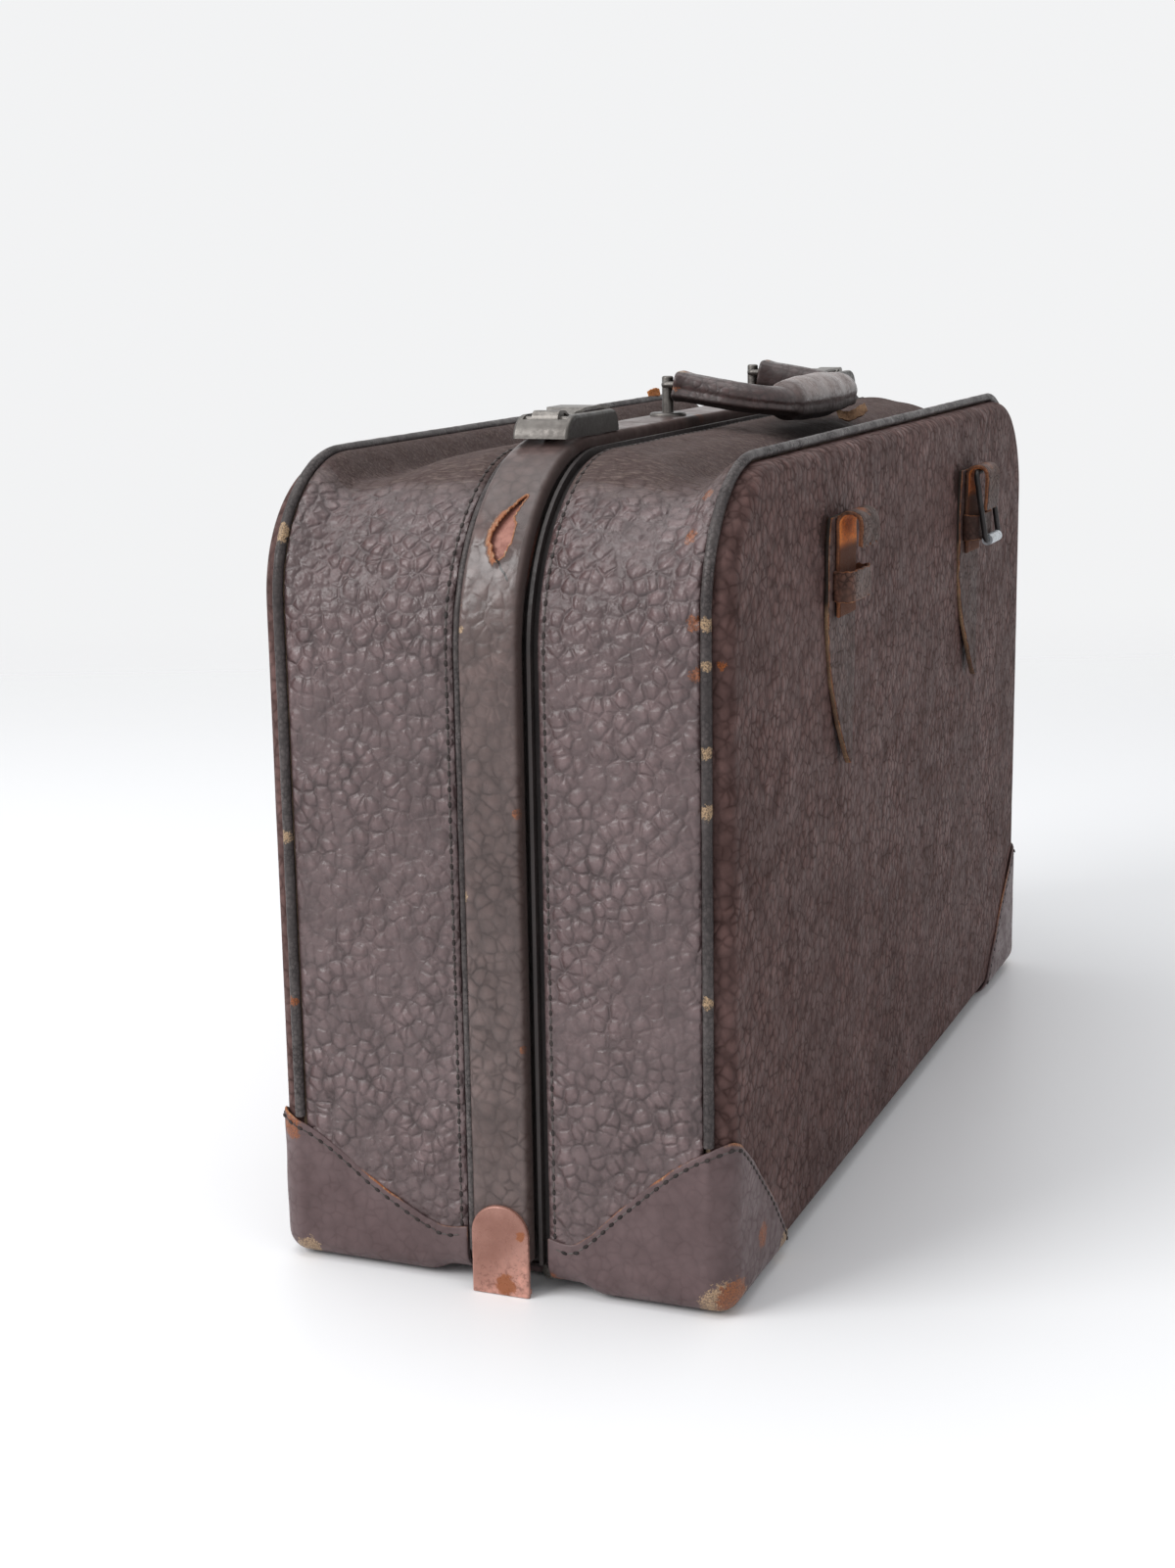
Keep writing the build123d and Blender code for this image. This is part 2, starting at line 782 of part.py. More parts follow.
def handle_post():
    stem = Pos(post_x, band_centre, band_top + post_height / 2 - 3.0)
    post = stem * Cylinder(post_radius, post_height + 6.0)
    post = fillet(post.faces().sort_by(Axis.Z)[-1].edges(), 1.0)
    tail = Pos(post_x, band_centre, band_top - 7.0) * Cylinder(post_radius + 1.6, 2.0)
    eye = rod(post_x - 10, post_x + 10, band_centre, eye_z, link_radius + running_clearance)
    return post + tail - eye


def rosette():
    disc = Pos(post_x, band_centre, band_top + 0.05 + rosette_height / 2) * Cylinder(
        rosette_radius, rosette_height
    )
    disc = fillet(disc.faces().sort_by(Axis.Z)[-1].edges(), 1.4)
    return disc - Pos(post_x, band_centre, band_top) * Cylinder(post_radius + 0.1, 20.0)


def link_shape(radius):
    near = band_centre
    far = band_centre - link_length
    left = post_x - link_width / 2
    right = post_x + link_width / 2
    corners = [(left, near, eye_z), (right, near, eye_z), (right, far, eye_z), (left, far, eye_z)]
    return wire_loop(corners, 2.4, radius)


def handle_grip():
    # wrapped arms that run forward from the links into the swelling of the grip
    arm_start = band_centre - link_length + 2.2
    grip_y = band_centre - handle_reach
    grip_z = eye_z - arm_drop
    start = (post_x, arm_start, eye_z - 0.8)
    path = FilletPolyline(
        start, (post_x, grip_y, grip_z), (-post_x, grip_y, grip_z), (-post_x, arm_start, eye_z - 0.8),
        radius=handle_corner,
    )
    tube = sweep(Plane(origin=start, z_dir=path.tangent_at(0)) * Circle(arm_radius), path=path)
    swell = make_face(
        [
            Line((-grip_half_length, 0), (grip_half_length, 0)),
            Line((grip_half_length, 0), (grip_half_length, arm_radius - 0.5)),
            Spline(
                (grip_half_length, arm_radius - 0.5), (0.66 * grip_half_length, grip_radius - 0.6),
                (0, grip_radius), (-0.66 * grip_half_length, grip_radius - 0.6),
                (-grip_half_length, arm_radius - 0.5),
            ),
            Line((-grip_half_length, arm_radius - 0.5), (-grip_half_length, 0)),
        ]
    )
    barrel = revolve(Pos(0, grip_y, grip_z) * swell, axis=Axis((0, grip_y, grip_z), (1, 0, 0)))
    grip = tube + barrel
    sockets = link_shape(link_radius + 0.1)
    return grip - sockets - mirrored(sockets)


# Strap remains: leaf-shaped backing, a folded chape and a keeper, the right one with its buckle.
strap_x = -case_length / 2 + strap_inset
leaf_back = -face_line - seat_gap
leaf_face = leaf_back - leaf_leather
chape_back = leaf_face - seat_gap
loop_y = chape_back - chape_leather - chape_loop_radius


def side_profile(shape, x_from, x_to):
    # shape drawn in Y and Z, run along X
    plane = Plane(origin=(x_from, 0, 0), x_dir=(0, 1, 0), z_dir=(1, 0, 0))
    return extrude(plane * shape, amount=x_to - x_from, dir=(1, 0, 0))


def strap_leaf():
    tip = leaf_top - leaf_length
    half = leaf_width / 2
    shoulder = leaf_top - 0.32 * leaf_length
    shape = make_face(
        [
            Line((strap_x - 0.8 * half, leaf_top), (strap_x + 0.8 * half, leaf_top)),
            ThreePointArc(
                (strap_x + 0.8 * half, leaf_top), (strap_x + half, (leaf_top + shoulder) / 2 - 6),
                (strap_x + half, shoulder),
            ),
            Spline(
                (strap_x + half, shoulder), (strap_x + 0.72 * half, tip + 0.3 * leaf_length),
                (strap_x, tip),
            ),
            Spline(
                (strap_x, tip), (strap_x - 0.72 * half, tip + 0.3 * leaf_length),
                (strap_x - half, shoulder),
            ),
            ThreePointArc(
                (strap_x - half, shoulder), (strap_x - half, (leaf_top + shoulder) / 2 - 6),
                (strap_x - 0.8 * half, leaf_top),
            ),
        ]
    )
    leaf = slab(shape, leaf_back - leaf_leather - leaf_curl - 1.0, leaf_back)
    bend = tip + 0.5 * leaf_length
    middle = (bend + tip) / 2
    profile = make_face(
        [
            Line((leaf_back, leaf_top + 1), (leaf_back, bend)),
            ThreePointArc(
                (leaf_back, bend), (leaf_back - 0.3 * leaf_curl, middle), (leaf_back - leaf_curl, tip - 1)
            ),
            Line((leaf_back - leaf_curl, tip - 1), (leaf_face - leaf_curl, tip - 1)),
            ThreePointArc(
                (leaf_face - leaf_curl, tip - 1), (leaf_face - 0.3 * leaf_curl, middle), (leaf_face, bend)
            ),
            Line((leaf_face, bend), (leaf_face, leaf_top + 1)),
            Line((leaf_face, leaf_top + 1), (leaf_back, leaf_top + 1)),
        ]
    )
    return leaf & side_profile(profile, strap_x - half - 1, strap_x + half + 1)


def chape(x, flap):
    # up the leaf, over the loop and down again
    middle = chape_loop_radius + chape_leather / 2
    path = Polyline((loop_y + middle, chape_foot), (loop_y + middle, chape_loop_height)) + ThreePointArc(
        (loop_y + middle, chape_loop_height),
        (loop_y, chape_loop_height + middle),
        (loop_y - middle, chape_loop_height),
    )
    path += Line((loop_y - middle, chape_loop_height), (loop_y - middle, chape_loop_height - flap))
    shape = trace(path, line_width=chape_leather)
    return side_profile(shape, x - chape_width / 2, x + chape_width / 2)


def keeper(x):
    outer_half = chape_width / 2 + 2.0 + keeper_leather
    back = leaf_face - seat_gap
    front = back - keeper_stand
    ring = Pos(x, (back + front) / 2) * Rectangle(2 * outer_half, keeper_stand)
    ring = fillet(ring.vertices().group_by(Axis.Y)[0], 3.5)
    inner = Pos(x, (back + front) / 2 + keeper_leather / 2 + 1.0) * Rectangle(
        2 * (outer_half - keeper_leather), keeper_stand - keeper_leather + 2.0
    )
    inner = fillet(inner.vertices().group_by(Axis.Y)[0], 1.8)
    return Pos(0, 0, keeper_base) * extrude(ring - inner, amount=keeper_height)


bar_z = chape_loop_height + chape_loop_radius - buckle_wire - 0.3
roller_y = loop_y - buckle_length * sin(radians(buckle_tilt))
roller_z = bar_z - buckle_length * cos(radians(buckle_tilt))


def buckle():
    # wire frame hanging by its bar in the right chape loop
    x = -strap_x
    half = buckle_width / 2
    corners = [
        (x - half, loop_y, bar_z),
        (x + half, loop_y, bar_z),
        (x + half, roller_y, roller_z),
        (x - half, roller_y, roller_z),
    ]
    return wire_loop(corners, 4.0, buckle_wire)


def roller():
    half = buckle_width / 2 - 4.6
    x = -strap_x
    tube = rod(x - half, x + half, roller_y, roller_z, roller_radius)
    return tube - rod(x - half - 1, x + half + 1, roller_y, roller_z, buckle_wire + running_clearance)


def main():
    parts["rear_frame"] = rear_frame()
    parts["band_cover"] = band_cover()
    parts["band_welt"] = welt()
    parts["base_strip"] = base_strip()
    parts["front_frame"] = front_frame()
    for side, half, start, flange_end, patch_height in (
        (1, "rear", rear_gusset_start, flange_rear_end + 1.0, patch_height_rear),
        (-1, "front", -front_gusset_start, -flange_front_end + 1.0, patch_height_front),
    ):
        parts[half + "_gusset"] = gusset(side, start, flange_end)
        parts[half + "_lining"] = lining(side, start, flange_end)
        parts[half + "_panel"] = panel(side)
        parts[half + "_board"] = board(side)
        parts[half + "_rim"] = rim(side)
        parts[half + "_piping"] = piping(side, patch_height, start, flange_end)
        pair(half + "_corner", corner_patch(side, patch_height, start, flange_end))
        pair(half + "_hinge_leaf", hinge_leaf(side))
        parts[half + "_hinge_rivets"] = hinge_rivets(side)
    pair("hinge_pin", hinge_pin())
    pair("shoe", shoe())
    pair("lock_case", lock_case())
    pair("lock_pin", lock_pin())
    pair("lock_lever", lock_lever())
    pair("latch_tongue", latch_tongue())
    pair("lock_spring", lock_spring())
    pair("catch", catch())
    pair("handle_post", handle_post())
    pair("post_rosette", rosette())
    pair("handle_link", link_shape(link_radius))
    parts["handle_grip"] = handle_grip()
    pair("strap_leaf", strap_leaf())
    parts["left_chape"] = chape(strap_x, left_flap)
    parts["right_chape"] = chape(-strap_x, right_flap)
    pair("keeper", keeper(strap_x))
    parts["buckle_frame"] = buckle()
    parts["buckle_roller"] = roller()

    # the origin is on the floor under the middle of the whole depth, straps included
    front_reach = max(-(roller_y - roller_radius), -(loop_y - chape_loop_radius - chape_leather))
    shift = (front_reach - face_line - patch_clear - patch_leather) / 2
    print("depth shift", round(shift, 3))
    os.makedirs("parts", exist_ok=True)
    for name, solid in parts.items():
        export_step(Pos(0, shift, 0) * solid, "parts/" + name + ".step")


main()
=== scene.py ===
import bmesh
import bpy
import math
from mathutils import Matrix, Vector, noise


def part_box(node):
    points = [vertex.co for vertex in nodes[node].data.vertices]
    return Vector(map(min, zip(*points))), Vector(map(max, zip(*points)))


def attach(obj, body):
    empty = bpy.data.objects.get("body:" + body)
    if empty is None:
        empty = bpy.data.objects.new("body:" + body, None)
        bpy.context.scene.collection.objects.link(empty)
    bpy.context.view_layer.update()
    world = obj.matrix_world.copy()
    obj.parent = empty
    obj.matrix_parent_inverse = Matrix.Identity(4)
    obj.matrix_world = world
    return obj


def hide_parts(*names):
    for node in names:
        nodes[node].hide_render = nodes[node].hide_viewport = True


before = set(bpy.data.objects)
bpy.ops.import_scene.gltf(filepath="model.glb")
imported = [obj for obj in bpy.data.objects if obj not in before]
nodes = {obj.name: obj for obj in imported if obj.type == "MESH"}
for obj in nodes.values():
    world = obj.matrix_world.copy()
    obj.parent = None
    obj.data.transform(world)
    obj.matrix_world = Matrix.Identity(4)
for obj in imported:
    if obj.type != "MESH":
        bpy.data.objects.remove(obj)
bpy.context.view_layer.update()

# Millimetres in the case's own frame: y is 0 midway between the two lines of piping.
middleY = (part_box("front_panel")[0].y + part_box("rear_panel")[1].y) / 2
case = {"half": 302.5, "top": 384.5, "beadLine": 103.5, "face": 114.0, "waist": 190.0}
sides = {"left": -1, "right": 1}

# An outline: half width, heights of base and top, radii of the upper and lower corners.
frameOutline = (302.5, 4.3, 384.5, 86.0, 10.0)
pipeOutline = (302.5, 2.5, 384.5, 65.5, 11.0)
outlineShares = (0.300, 0.025, 0.310, 0.125, 0.240)  # base, lower corner, side, upper corner, top


def place(x, y, z):
    return Vector((x / 1000, y / 1000 + middleY, z / 1000))


def clamp(value, low=0.0, high=1.0):
    return max(low, min(high, value))


def ease(value):
    value = clamp(value)
    return value * value * (3 - 2 * value)


def rumple(x, y, z, size, seed=0.0):
    # smooth noise from -1 to 1, size in millimetres
    return noise.noise(Vector((x / size + seed, y / size - seed, z / size + 2 * seed)))


def grown(outline, rise):
    half, base, top, upper, lower = outline
    return half + rise, base - rise, top + rise, upper + rise, lower + rise


def outlinePoint(u, outline, rise=0.0):
    # u runs once round the case from the middle of its base; also gives the outward direction
    half, base, top, upper, lower = grown(outline, rise)
    u %= 1.0
    side, s = (1.0, 2 * u) if u <= 0.5 else (-1.0, 2 - 2 * u)
    part = 0
    while part < 4 and s > outlineShares[part]:
        s -= outlineShares[part]
        part += 1
    s /= outlineShares[part]
    turn = math.radians((-90.0, 90 * s - 90, 0.0, 90 * s, 90.0)[part])
    outX, outZ = math.cos(turn), math.sin(turn)
    x, z = ((s * (half - lower), base),
            (half - lower + lower * outX, base + lower + lower * outZ),
            (half, base + lower + s * (top - base - upper - lower)),
            (half - upper + upper * outX, top - upper + upper * outZ),
            ((half - upper) * (1 - s), top))[part]
    return side * x, z, side * outX, outZ


def pushOut(spot, y, by):
    # a point of an outline, moved outward
    x, z, outX, outZ = spot
    return x + outX * by, y, z + outZ * by


def overTop(t, foot, outline, rise=0.0):
    # the u for t from 0 to 1, from the foot on one side over the top to the foot on the other
    half, base, top, upper, lower = grown(outline, rise)
    along = clamp((foot - base - lower) / (top - base - upper - lower))
    low = (outlineShares[0] + outlineShares[1] + along * outlineShares[2]) / 2
    return low + t * (1 - 2 * low)


def stationPoint(look, half, u, v):
    # y and outline point of a gusset or lining; a station is y, sag, height of the base and two radii
    stations = look["stations"]
    y = stations[0][0] + v * (stations[-1][0] - stations[0][0])
    for low, high in zip(stations, stations[1:]):
        if y <= high[0]:
            break
    t = ease((y - low[0]) / (high[0] - low[0]))
    drop, base, upper, lower = (a + (b - a) * t for a, b in zip(low[1:], high[1:]))
    return y, outlinePoint(u, (half, base, case["top"] - drop, upper, lower))


def curveThrough(points, t):
    # smooth curve through points, t from 0 to 1
    last = len(points) - 1
    at = clamp(t) * last
    i = min(int(at), last - 1)
    f = at - i
    p0, p1, p2, p3 = (Vector(points[clamp(k, 0, last)]) for k in (i - 1, i, i + 1, i + 2))
    return 0.5 * (2 * p1 + (p2 - p0) * f + (2 * p0 - 5 * p1 + 4 * p2 - p3) * f ** 2
                  + (3 * p1 - p0 - 3 * p2 + p3) * f ** 3)


def splineAt(points, at):
    # smooth curve of height over distance
    last = len(points) - 1
    i = next((k for k in range(last) if at <= points[k + 1][0]), last - 1)
    (x0, y0), (x1, y1), (x2, y2), (x3, y3) = (points[clamp(k, 0, last)] for k in (i - 1, i, i + 1, i + 2))
    f = clamp((at - x1) / (x2 - x1))
    slope1 = (y2 - y0) / max(x2 - x0, 1e-6) * (x2 - x1)
    slope2 = (y3 - y1) / max(x3 - x1, 1e-6) * (x2 - x1)
    return ((2 * f ** 3 - 3 * f ** 2 + 1) * y1 + (f ** 3 - 2 * f ** 2 + f) * slope1
            + (3 * f ** 2 - 2 * f ** 3) * y2 + (f ** 3 - f ** 2) * slope2)


def shapeGrid(columns, rows, surface, closed=False):
    # a grid bent over a surface that gives millimetres for u and v from 0 to 1
    mesh = bmesh.new()
    bmesh.ops.create_grid(mesh, x_segments=columns, y_segments=rows, size=0.5)
    for vert in mesh.verts:
        vert.co = place(*surface(vert.co.x + 0.5, vert.co.y + 0.5))
    if closed:
        bmesh.ops.remove_doubles(mesh, verts=mesh.verts, dist=0.00002)
    return mesh


def awayRound(middle):
    return Vector((middle.x, 0, middle.z - case["waist"] / 1000))


def newObject(name, data):
    made = bpy.data.objects.new(name, data)
    bpy.context.scene.collection.objects.link(made)
    return made


def meshObject(name, mesh, finish):
    data = bpy.data.meshes.new(name)
    mesh.to_mesh(data)
    mesh.free()
    data.materials.append(finish)
    return newObject(name, data)


def finishPiece(name, mesh, finish, body, slotName, replaced=(), outward=None, wall=0.0, levels=0,
                corners="PRESERVE_CORNERS", **shell):
    # outward gives the way out at the middle of a face; shell holds more settings of the wall
    if outward:
        faces = [(face, outward(face.calc_center_median())) for face in mesh.faces]
        if sum(face.normal.dot(way) * face.calc_area() for face, way in faces) < 0:
            bmesh.ops.reverse_faces(mesh, faces=mesh.faces)
    for face in mesh.faces:
        face.smooth = True
    piece = meshObject(name, mesh, finish)
    if wall:
        made = piece.modifiers.new("wall", "SOLIDIFY")
        for key, value in {"thickness": wall / 1000, "offset": -1, "use_even_offset": False, **shell}.items():
            setattr(made, key, value)
    if levels:
        soften = piece.modifiers.new("soften", "SUBSURF")
        soften.levels = soften.render_levels = levels
        soften.boundary_smooth = corners
    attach(piece, body)
    if replaced:
        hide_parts(*replaced)
    return piece


def dullTop(piece, finish, height, reach):
    # the faces above this height and within this reach of the middle take the duller finish
    piece.data.materials.append(finish)
    for face in piece.data.polygons:
        if face.center.z > height / 1000 and abs(face.center.x) < reach / 1000:
            face.material_index = 1


print("frame loaded")


class NodeValue:
    # an output of a node that is added, multiplied and so on like a number
    def __init__(self, socket):
        self.socket, self.tree = socket, socket.id_data

    def __add__(self, other):
        return maths("ADD", self, other)

    def __sub__(self, other):
        return maths("SUBTRACT", self, other)

    def __rsub__(self, other):
        return maths("SUBTRACT", other, self)

    def __mul__(self, other):
        return maths("MULTIPLY", self, other)

    def __truediv__(self, other):
        return maths("DIVIDE", self, other)

    def __rtruediv__(self, other):
        return maths("DIVIDE", other, self)

    __radd__, __rmul__ = __add__, __mul__


def add(tree, kind, inputs=None, out=0, **settings):
    # one node and its output; all outputs by name when out is None
    made = tree.nodes.new(kind)
    for key, value in settings.items():
        setattr(made, key, value)
    for key, value in (inputs or {}).items():
        if isinstance(value, NodeValue):
            tree.links.new(value.socket, made.inputs[key])
        else:
            made.inputs[key].default_value = value
    return {o.name: NodeValue(o) for o in made.outputs} if out is None else NodeValue(made.outputs[out])


def treeOf(*values):
    return next(value.tree for value in values if isinstance(value, NodeValue))


def maths(operation, a, b=0.0, limit=False):
    return add(treeOf(a, b), "ShaderNodeMath", {0: a, 1: b}, operation=operation, use_clamp=limit)


def larger(a, b):
    return maths("MAXIMUM", a, b)


def vectors(operation, a, b=(0.0, 0.0, 0.0)):
    out = 0 if operation in ("ADD", "SUBTRACT", "MULTIPLY") else "Value"
    return add(a.tree, "ShaderNodeVectorMath", {0: a, 1: b}, out, operation=operation)


def axis(vector, name):
    return add(vector.tree, "ShaderNodeSeparateXYZ", {0: vector}, name)


def stretch(vector, scale, turn=0.0):
    return add(vector.tree, "ShaderNodeMapping", {0: vector, "Rotation": (0.0, 0.0, turn), "Scale": scale})


def painted(tree, name):
    return add(tree, "ShaderNodeAttribute", None, "Fac", attribute_name=name)


def scaled(colour, by):
    return tuple(by * part for part in colour)


def mix(factor, a, b, blend="MIX"):
    a, b = (colour if isinstance(colour, NodeValue) else (*colour, 1.0) for colour in (a, b))
    return add(treeOf(factor, a, b), "ShaderNodeMix", {0: factor, 6: a, 7: b}, 2, data_type="RGBA", blend_type=blend)


def ramp(value, low, high, outLow=0.0, outHigh=1.0, kind="SMOOTHSTEP"):
    return add(value.tree, "ShaderNodeMapRange", {"Value": value, "From Min": low, "From Max": high,
               "To Min": outLow, "To Max": outHigh}, interpolation_type=kind)


def straight(value, low, high, outLow, outHigh):
    return ramp(value, low, high, outLow, outHigh, "LINEAR")


def cloud(vector, scale, detail=3.0, rough=0.55, out="Fac"):
    return add(vector.tree, "ShaderNodeTexNoise", {"Vector": vector, "Scale": scale, "Detail": detail,
               "Roughness": rough}, out)


def cells(vector, scale, feature, out="Distance", **more):
    return add(vector.tree, "ShaderNodeTexVoronoi", {"Vector": vector, "Scale": scale, **more}, out,
               feature=feature)


def newGroup(name, given, work):
    # given names the inputs with their first values, None for a vector; work makes the outputs
    group = bpy.data.node_groups.new(name, "ShaderNodeTree")
    for label, value in given.items():
        kind = "NodeSocketVector" if value is None else "NodeSocketFloat"
        made = group.interface.new_socket(label, in_out="INPUT", socket_type=kind)
        if value is not None:
            made.default_value = value
    source = group.nodes.new("NodeGroupInput").outputs
    results = work(*[NodeValue(source[label]) for label in given])
    for label in results:
        group.interface.new_socket(label, in_out="OUTPUT", socket_type="NodeSocketFloat")
    out = group.nodes.new("NodeGroupOutput")
    for label, value in results.items():
        group.links.new(value.socket, out.inputs[label])
    return group


def useGroup(group, vector, **inputs):
    return add(vector.tree, "ShaderNodeGroup", {"Vector": vector, **inputs}, None, node_tree=group)


def pebbles(vector, size):
    # rounded leather pebbles with creases between them
    drift = vectors("SUBTRACT", cloud(vector, 110.0, 2.0, 0.5, "Color"), (0.5, 0.5, 0.5))
    bent = vectors("ADD", vector, vectors("MULTIPLY", drift, (0.0034, 0.0034, 0.0034)))
    scale = 1.0 / size
    edge = cells(bent, scale, "DISTANCE_TO_EDGE")
    centre = cells(bent, scale, "SMOOTH_F1", Smoothness=0.75)
    small = cells(bent, scale * 2.1, "SMOOTH_F1", Smoothness=0.4)
    hollow = maths("POWER", straight(centre, -0.10, 0.62, 0.0, 1.0), 2.0)
    dome = (1.0 - hollow) * 0.75 + ramp(edge, 0.0, 0.20, 0.0, 0.25)
    swell = dome * ramp(cloud(vector, 32.0), 0.35, 0.65, 0.40, 1.15)
    fine = ramp(small, 0.05, 0.75, 1.0, 0.0) * 0.16
    grit = cloud(vector, 1100.0, 3.0, 0.65) * 0.12
    return {"Height": swell + (fine + grit),
            "Crease": ramp(edge, 0.0, 0.16, 1.0, 0.0) * ramp(cloud(vector, 150.0, 2.0), 0.38, 0.62),
            "Tone": add(vector.tree, "ShaderNodeSeparateColor", {0: cells(bent, scale, "F1", "Color")})}


def fading(vector, scale):
    # slow change of tone over a worn surface
    return {"Broad": ramp(cloud(vector, scale, 4.0), 0.3, 0.7),
            "Fine": ramp(cloud(vector, scale * 7.0, 4.0, 0.65), 0.32, 0.68)}


def scuffs(vector, scale, amount):
    # scattered chips and scuffs
    both = cloud(vector, scale, 5.0, 0.7) * 0.6 + cloud(vector, scale * 0.21, 2.0) * 0.4
    return {"Mask": ramp(both - (0.78 - amount * 0.2), 0.0, 0.03)}


def wear(vector, centre, radius, cover):
    # a ragged worn place round one point
    near = maths("SUBTRACT", 1.0, vectors("DISTANCE", vector, centre) / radius, True)
    total = near * 0.9 + cloud(vector, 420.0, 6.0, 0.78)
    return {"Mask": ramp(total - (1.3 - cover * 0.6), 0.0, 0.05) * ramp(near, 0.0, 0.15)}


pebbleGrain = newGroup("pebbleGrain", {"Vector": None, "Size": 0.0055}, pebbles)
fadedCloud = newGroup("fadedCloud", {"Vector": None, "Scale": 9.0}, fading)
chipMarks = newGroup("chipMarks", {"Vector": None, "Scale": 70.0, "Amount": 0.5}, scuffs)
wornPlace = newGroup("wornPlace", {"Vector": None, "Centre": None, "Radius": 0.01, "Cover": 0.5}, wear)


def newMaterial(name):
    material = bpy.data.materials.new(name)
    material.use_nodes = True
    tree = material.node_tree
    return material, tree.nodes["Principled BSDF"], add(tree, "ShaderNodeTexCoord", None, "Object")


def dress(shader, colour, rough, height, depth, strength, constants=None):
    # depth of the relief in millimetres
    bump = add(colour.tree, "ShaderNodeBump", {"Height": height, "Distance": depth / 1000, "Strength": strength})
    for key, value in (("Base Color", colour), ("Roughness", rough), ("Normal", bump)):
        colour.tree.links.new(value.socket, shader.inputs[key])
    for key, value in (constants or {}).items():
        shader.inputs[key].default_value = value


def wearDown(colour, spot, worn, strength, bare):
    # worn lists x, y, z, radius in mm, cover and the name of what shows
    for x, y, z, radius, cover, kind in worn:
        mask = useGroup(wornPlace, spot, Centre=place(x, y, z), Radius=radius / 1000, Cover=cover)["Mask"]
        colour = mix(mask * strength, colour, bare(hide[kind]))
    return colour


def frontFlankShade(spot, low, high, most):
    # a mask over the front flank of the band for painted shade, from most to nothing between these two y
    return ramp(axis(spot, "Y"), place(0, low, 0).y, place(0, high, 0).y, most, 0.0)


# leather finishes: colours, pebble size in metres, relief in mm, strength of the single cells
leatherKeys = ("main", "light", "deep", "size", "relief", "rough", "dust", "chips", "shine", "cells")
leatherLooks = {name: dict(zip(leatherKeys, row)) for name, row in {
    "endLeather": ((0.122, 0.078, 0.078), (0.164, 0.111, 0.111), (0.036, 0.020, 0.020),
                   0.0068, 1.75, 0.35, 0.55, 0.20, 0.52, 1.0),
    "faceLeather": ((0.114, 0.064, 0.058), (0.148, 0.088, 0.081), (0.046, 0.023, 0.020),
                    0.0058, 0.95, 0.56, 0.20, 0.12, 0.08, 1.0),
    "patchLeather": ((0.110, 0.068, 0.069), (0.142, 0.095, 0.096), (0.060, 0.036, 0.036),
                     0.0060, 0.16, 0.44, 0.12, 0.28, 0.36, 0.35),
    "bandLeather": ((0.098, 0.064, 0.059), (0.134, 0.092, 0.085), (0.034, 0.018, 0.015),
                    0.0062, 0.50, 0.34, 0.70, 0.24, 0.50, 1.0),
    "trimLeather": ((0.058, 0.046, 0.045), (0.110, 0.095, 0.092), (0.013, 0.010, 0.011),
                    0.0021, 0.16, 0.42, 0.25, 0.50, 0.24, 1.0),
    "handleLeather": ((0.048, 0.026, 0.025), (0.090, 0.058, 0.055), (0.012, 0.006, 0.005),
                      0.0040, 0.13, 0.31, 0.20, 0.34, 0.45, 1.0),
    "strapLeather": ((0.082, 0.047, 0.041), (0.124, 0.079, 0.071), (0.036, 0.019, 0.016),
                     0.0044, 0.35, 0.55, 0.30, 0.38, 0.14, 1.0),
    "chapeLeather": ((0.052, 0.025, 0.020), (0.150, 0.070, 0.048), (0.016, 0.008, 0.006),
                     0.0030, 0.30, 0.52, 0.10, 0.60, 0.22, 1.0),
}.items()}
# the tops are rubbed dull
leatherLooks["gussetTop"] = dict(leatherLooks["endLeather"], shine=0.28)
leatherLooks["bandTop"] = dict(leatherLooks["bandLeather"], shine=0.30)
# the near-black colours are painted shadow under the grip and beside the chapes and painted shade in the crack; pale is
# painted light on the grip's top; the rest are the hide's own
hide = {"rust": (0.270, 0.082, 0.024), "tan": (0.420, 0.285, 0.170), "rubbed": (0.150, 0.066, 0.042),
        "soot": (0.012, 0.007, 0.006), "pale": (0.290, 0.226, 0.208), "split": (0.008, 0.005, 0.004),
        "darkTop": (0.064, 0.041, 0.038), "paleTop": (0.215, 0.160, 0.138)}
# millimetres: where the gussets' tops begin and end, where the grip's painted shadow falls on them, how far up their
# ends shine
gussetTops = {"low": 366, "full": 379, "within": 252, "beyond": 286, "grip": (12, -66, 372),
              "gripSpread": (11.5, 27.0, 20.0), "shineFrom": 270, "shineTo": 330}


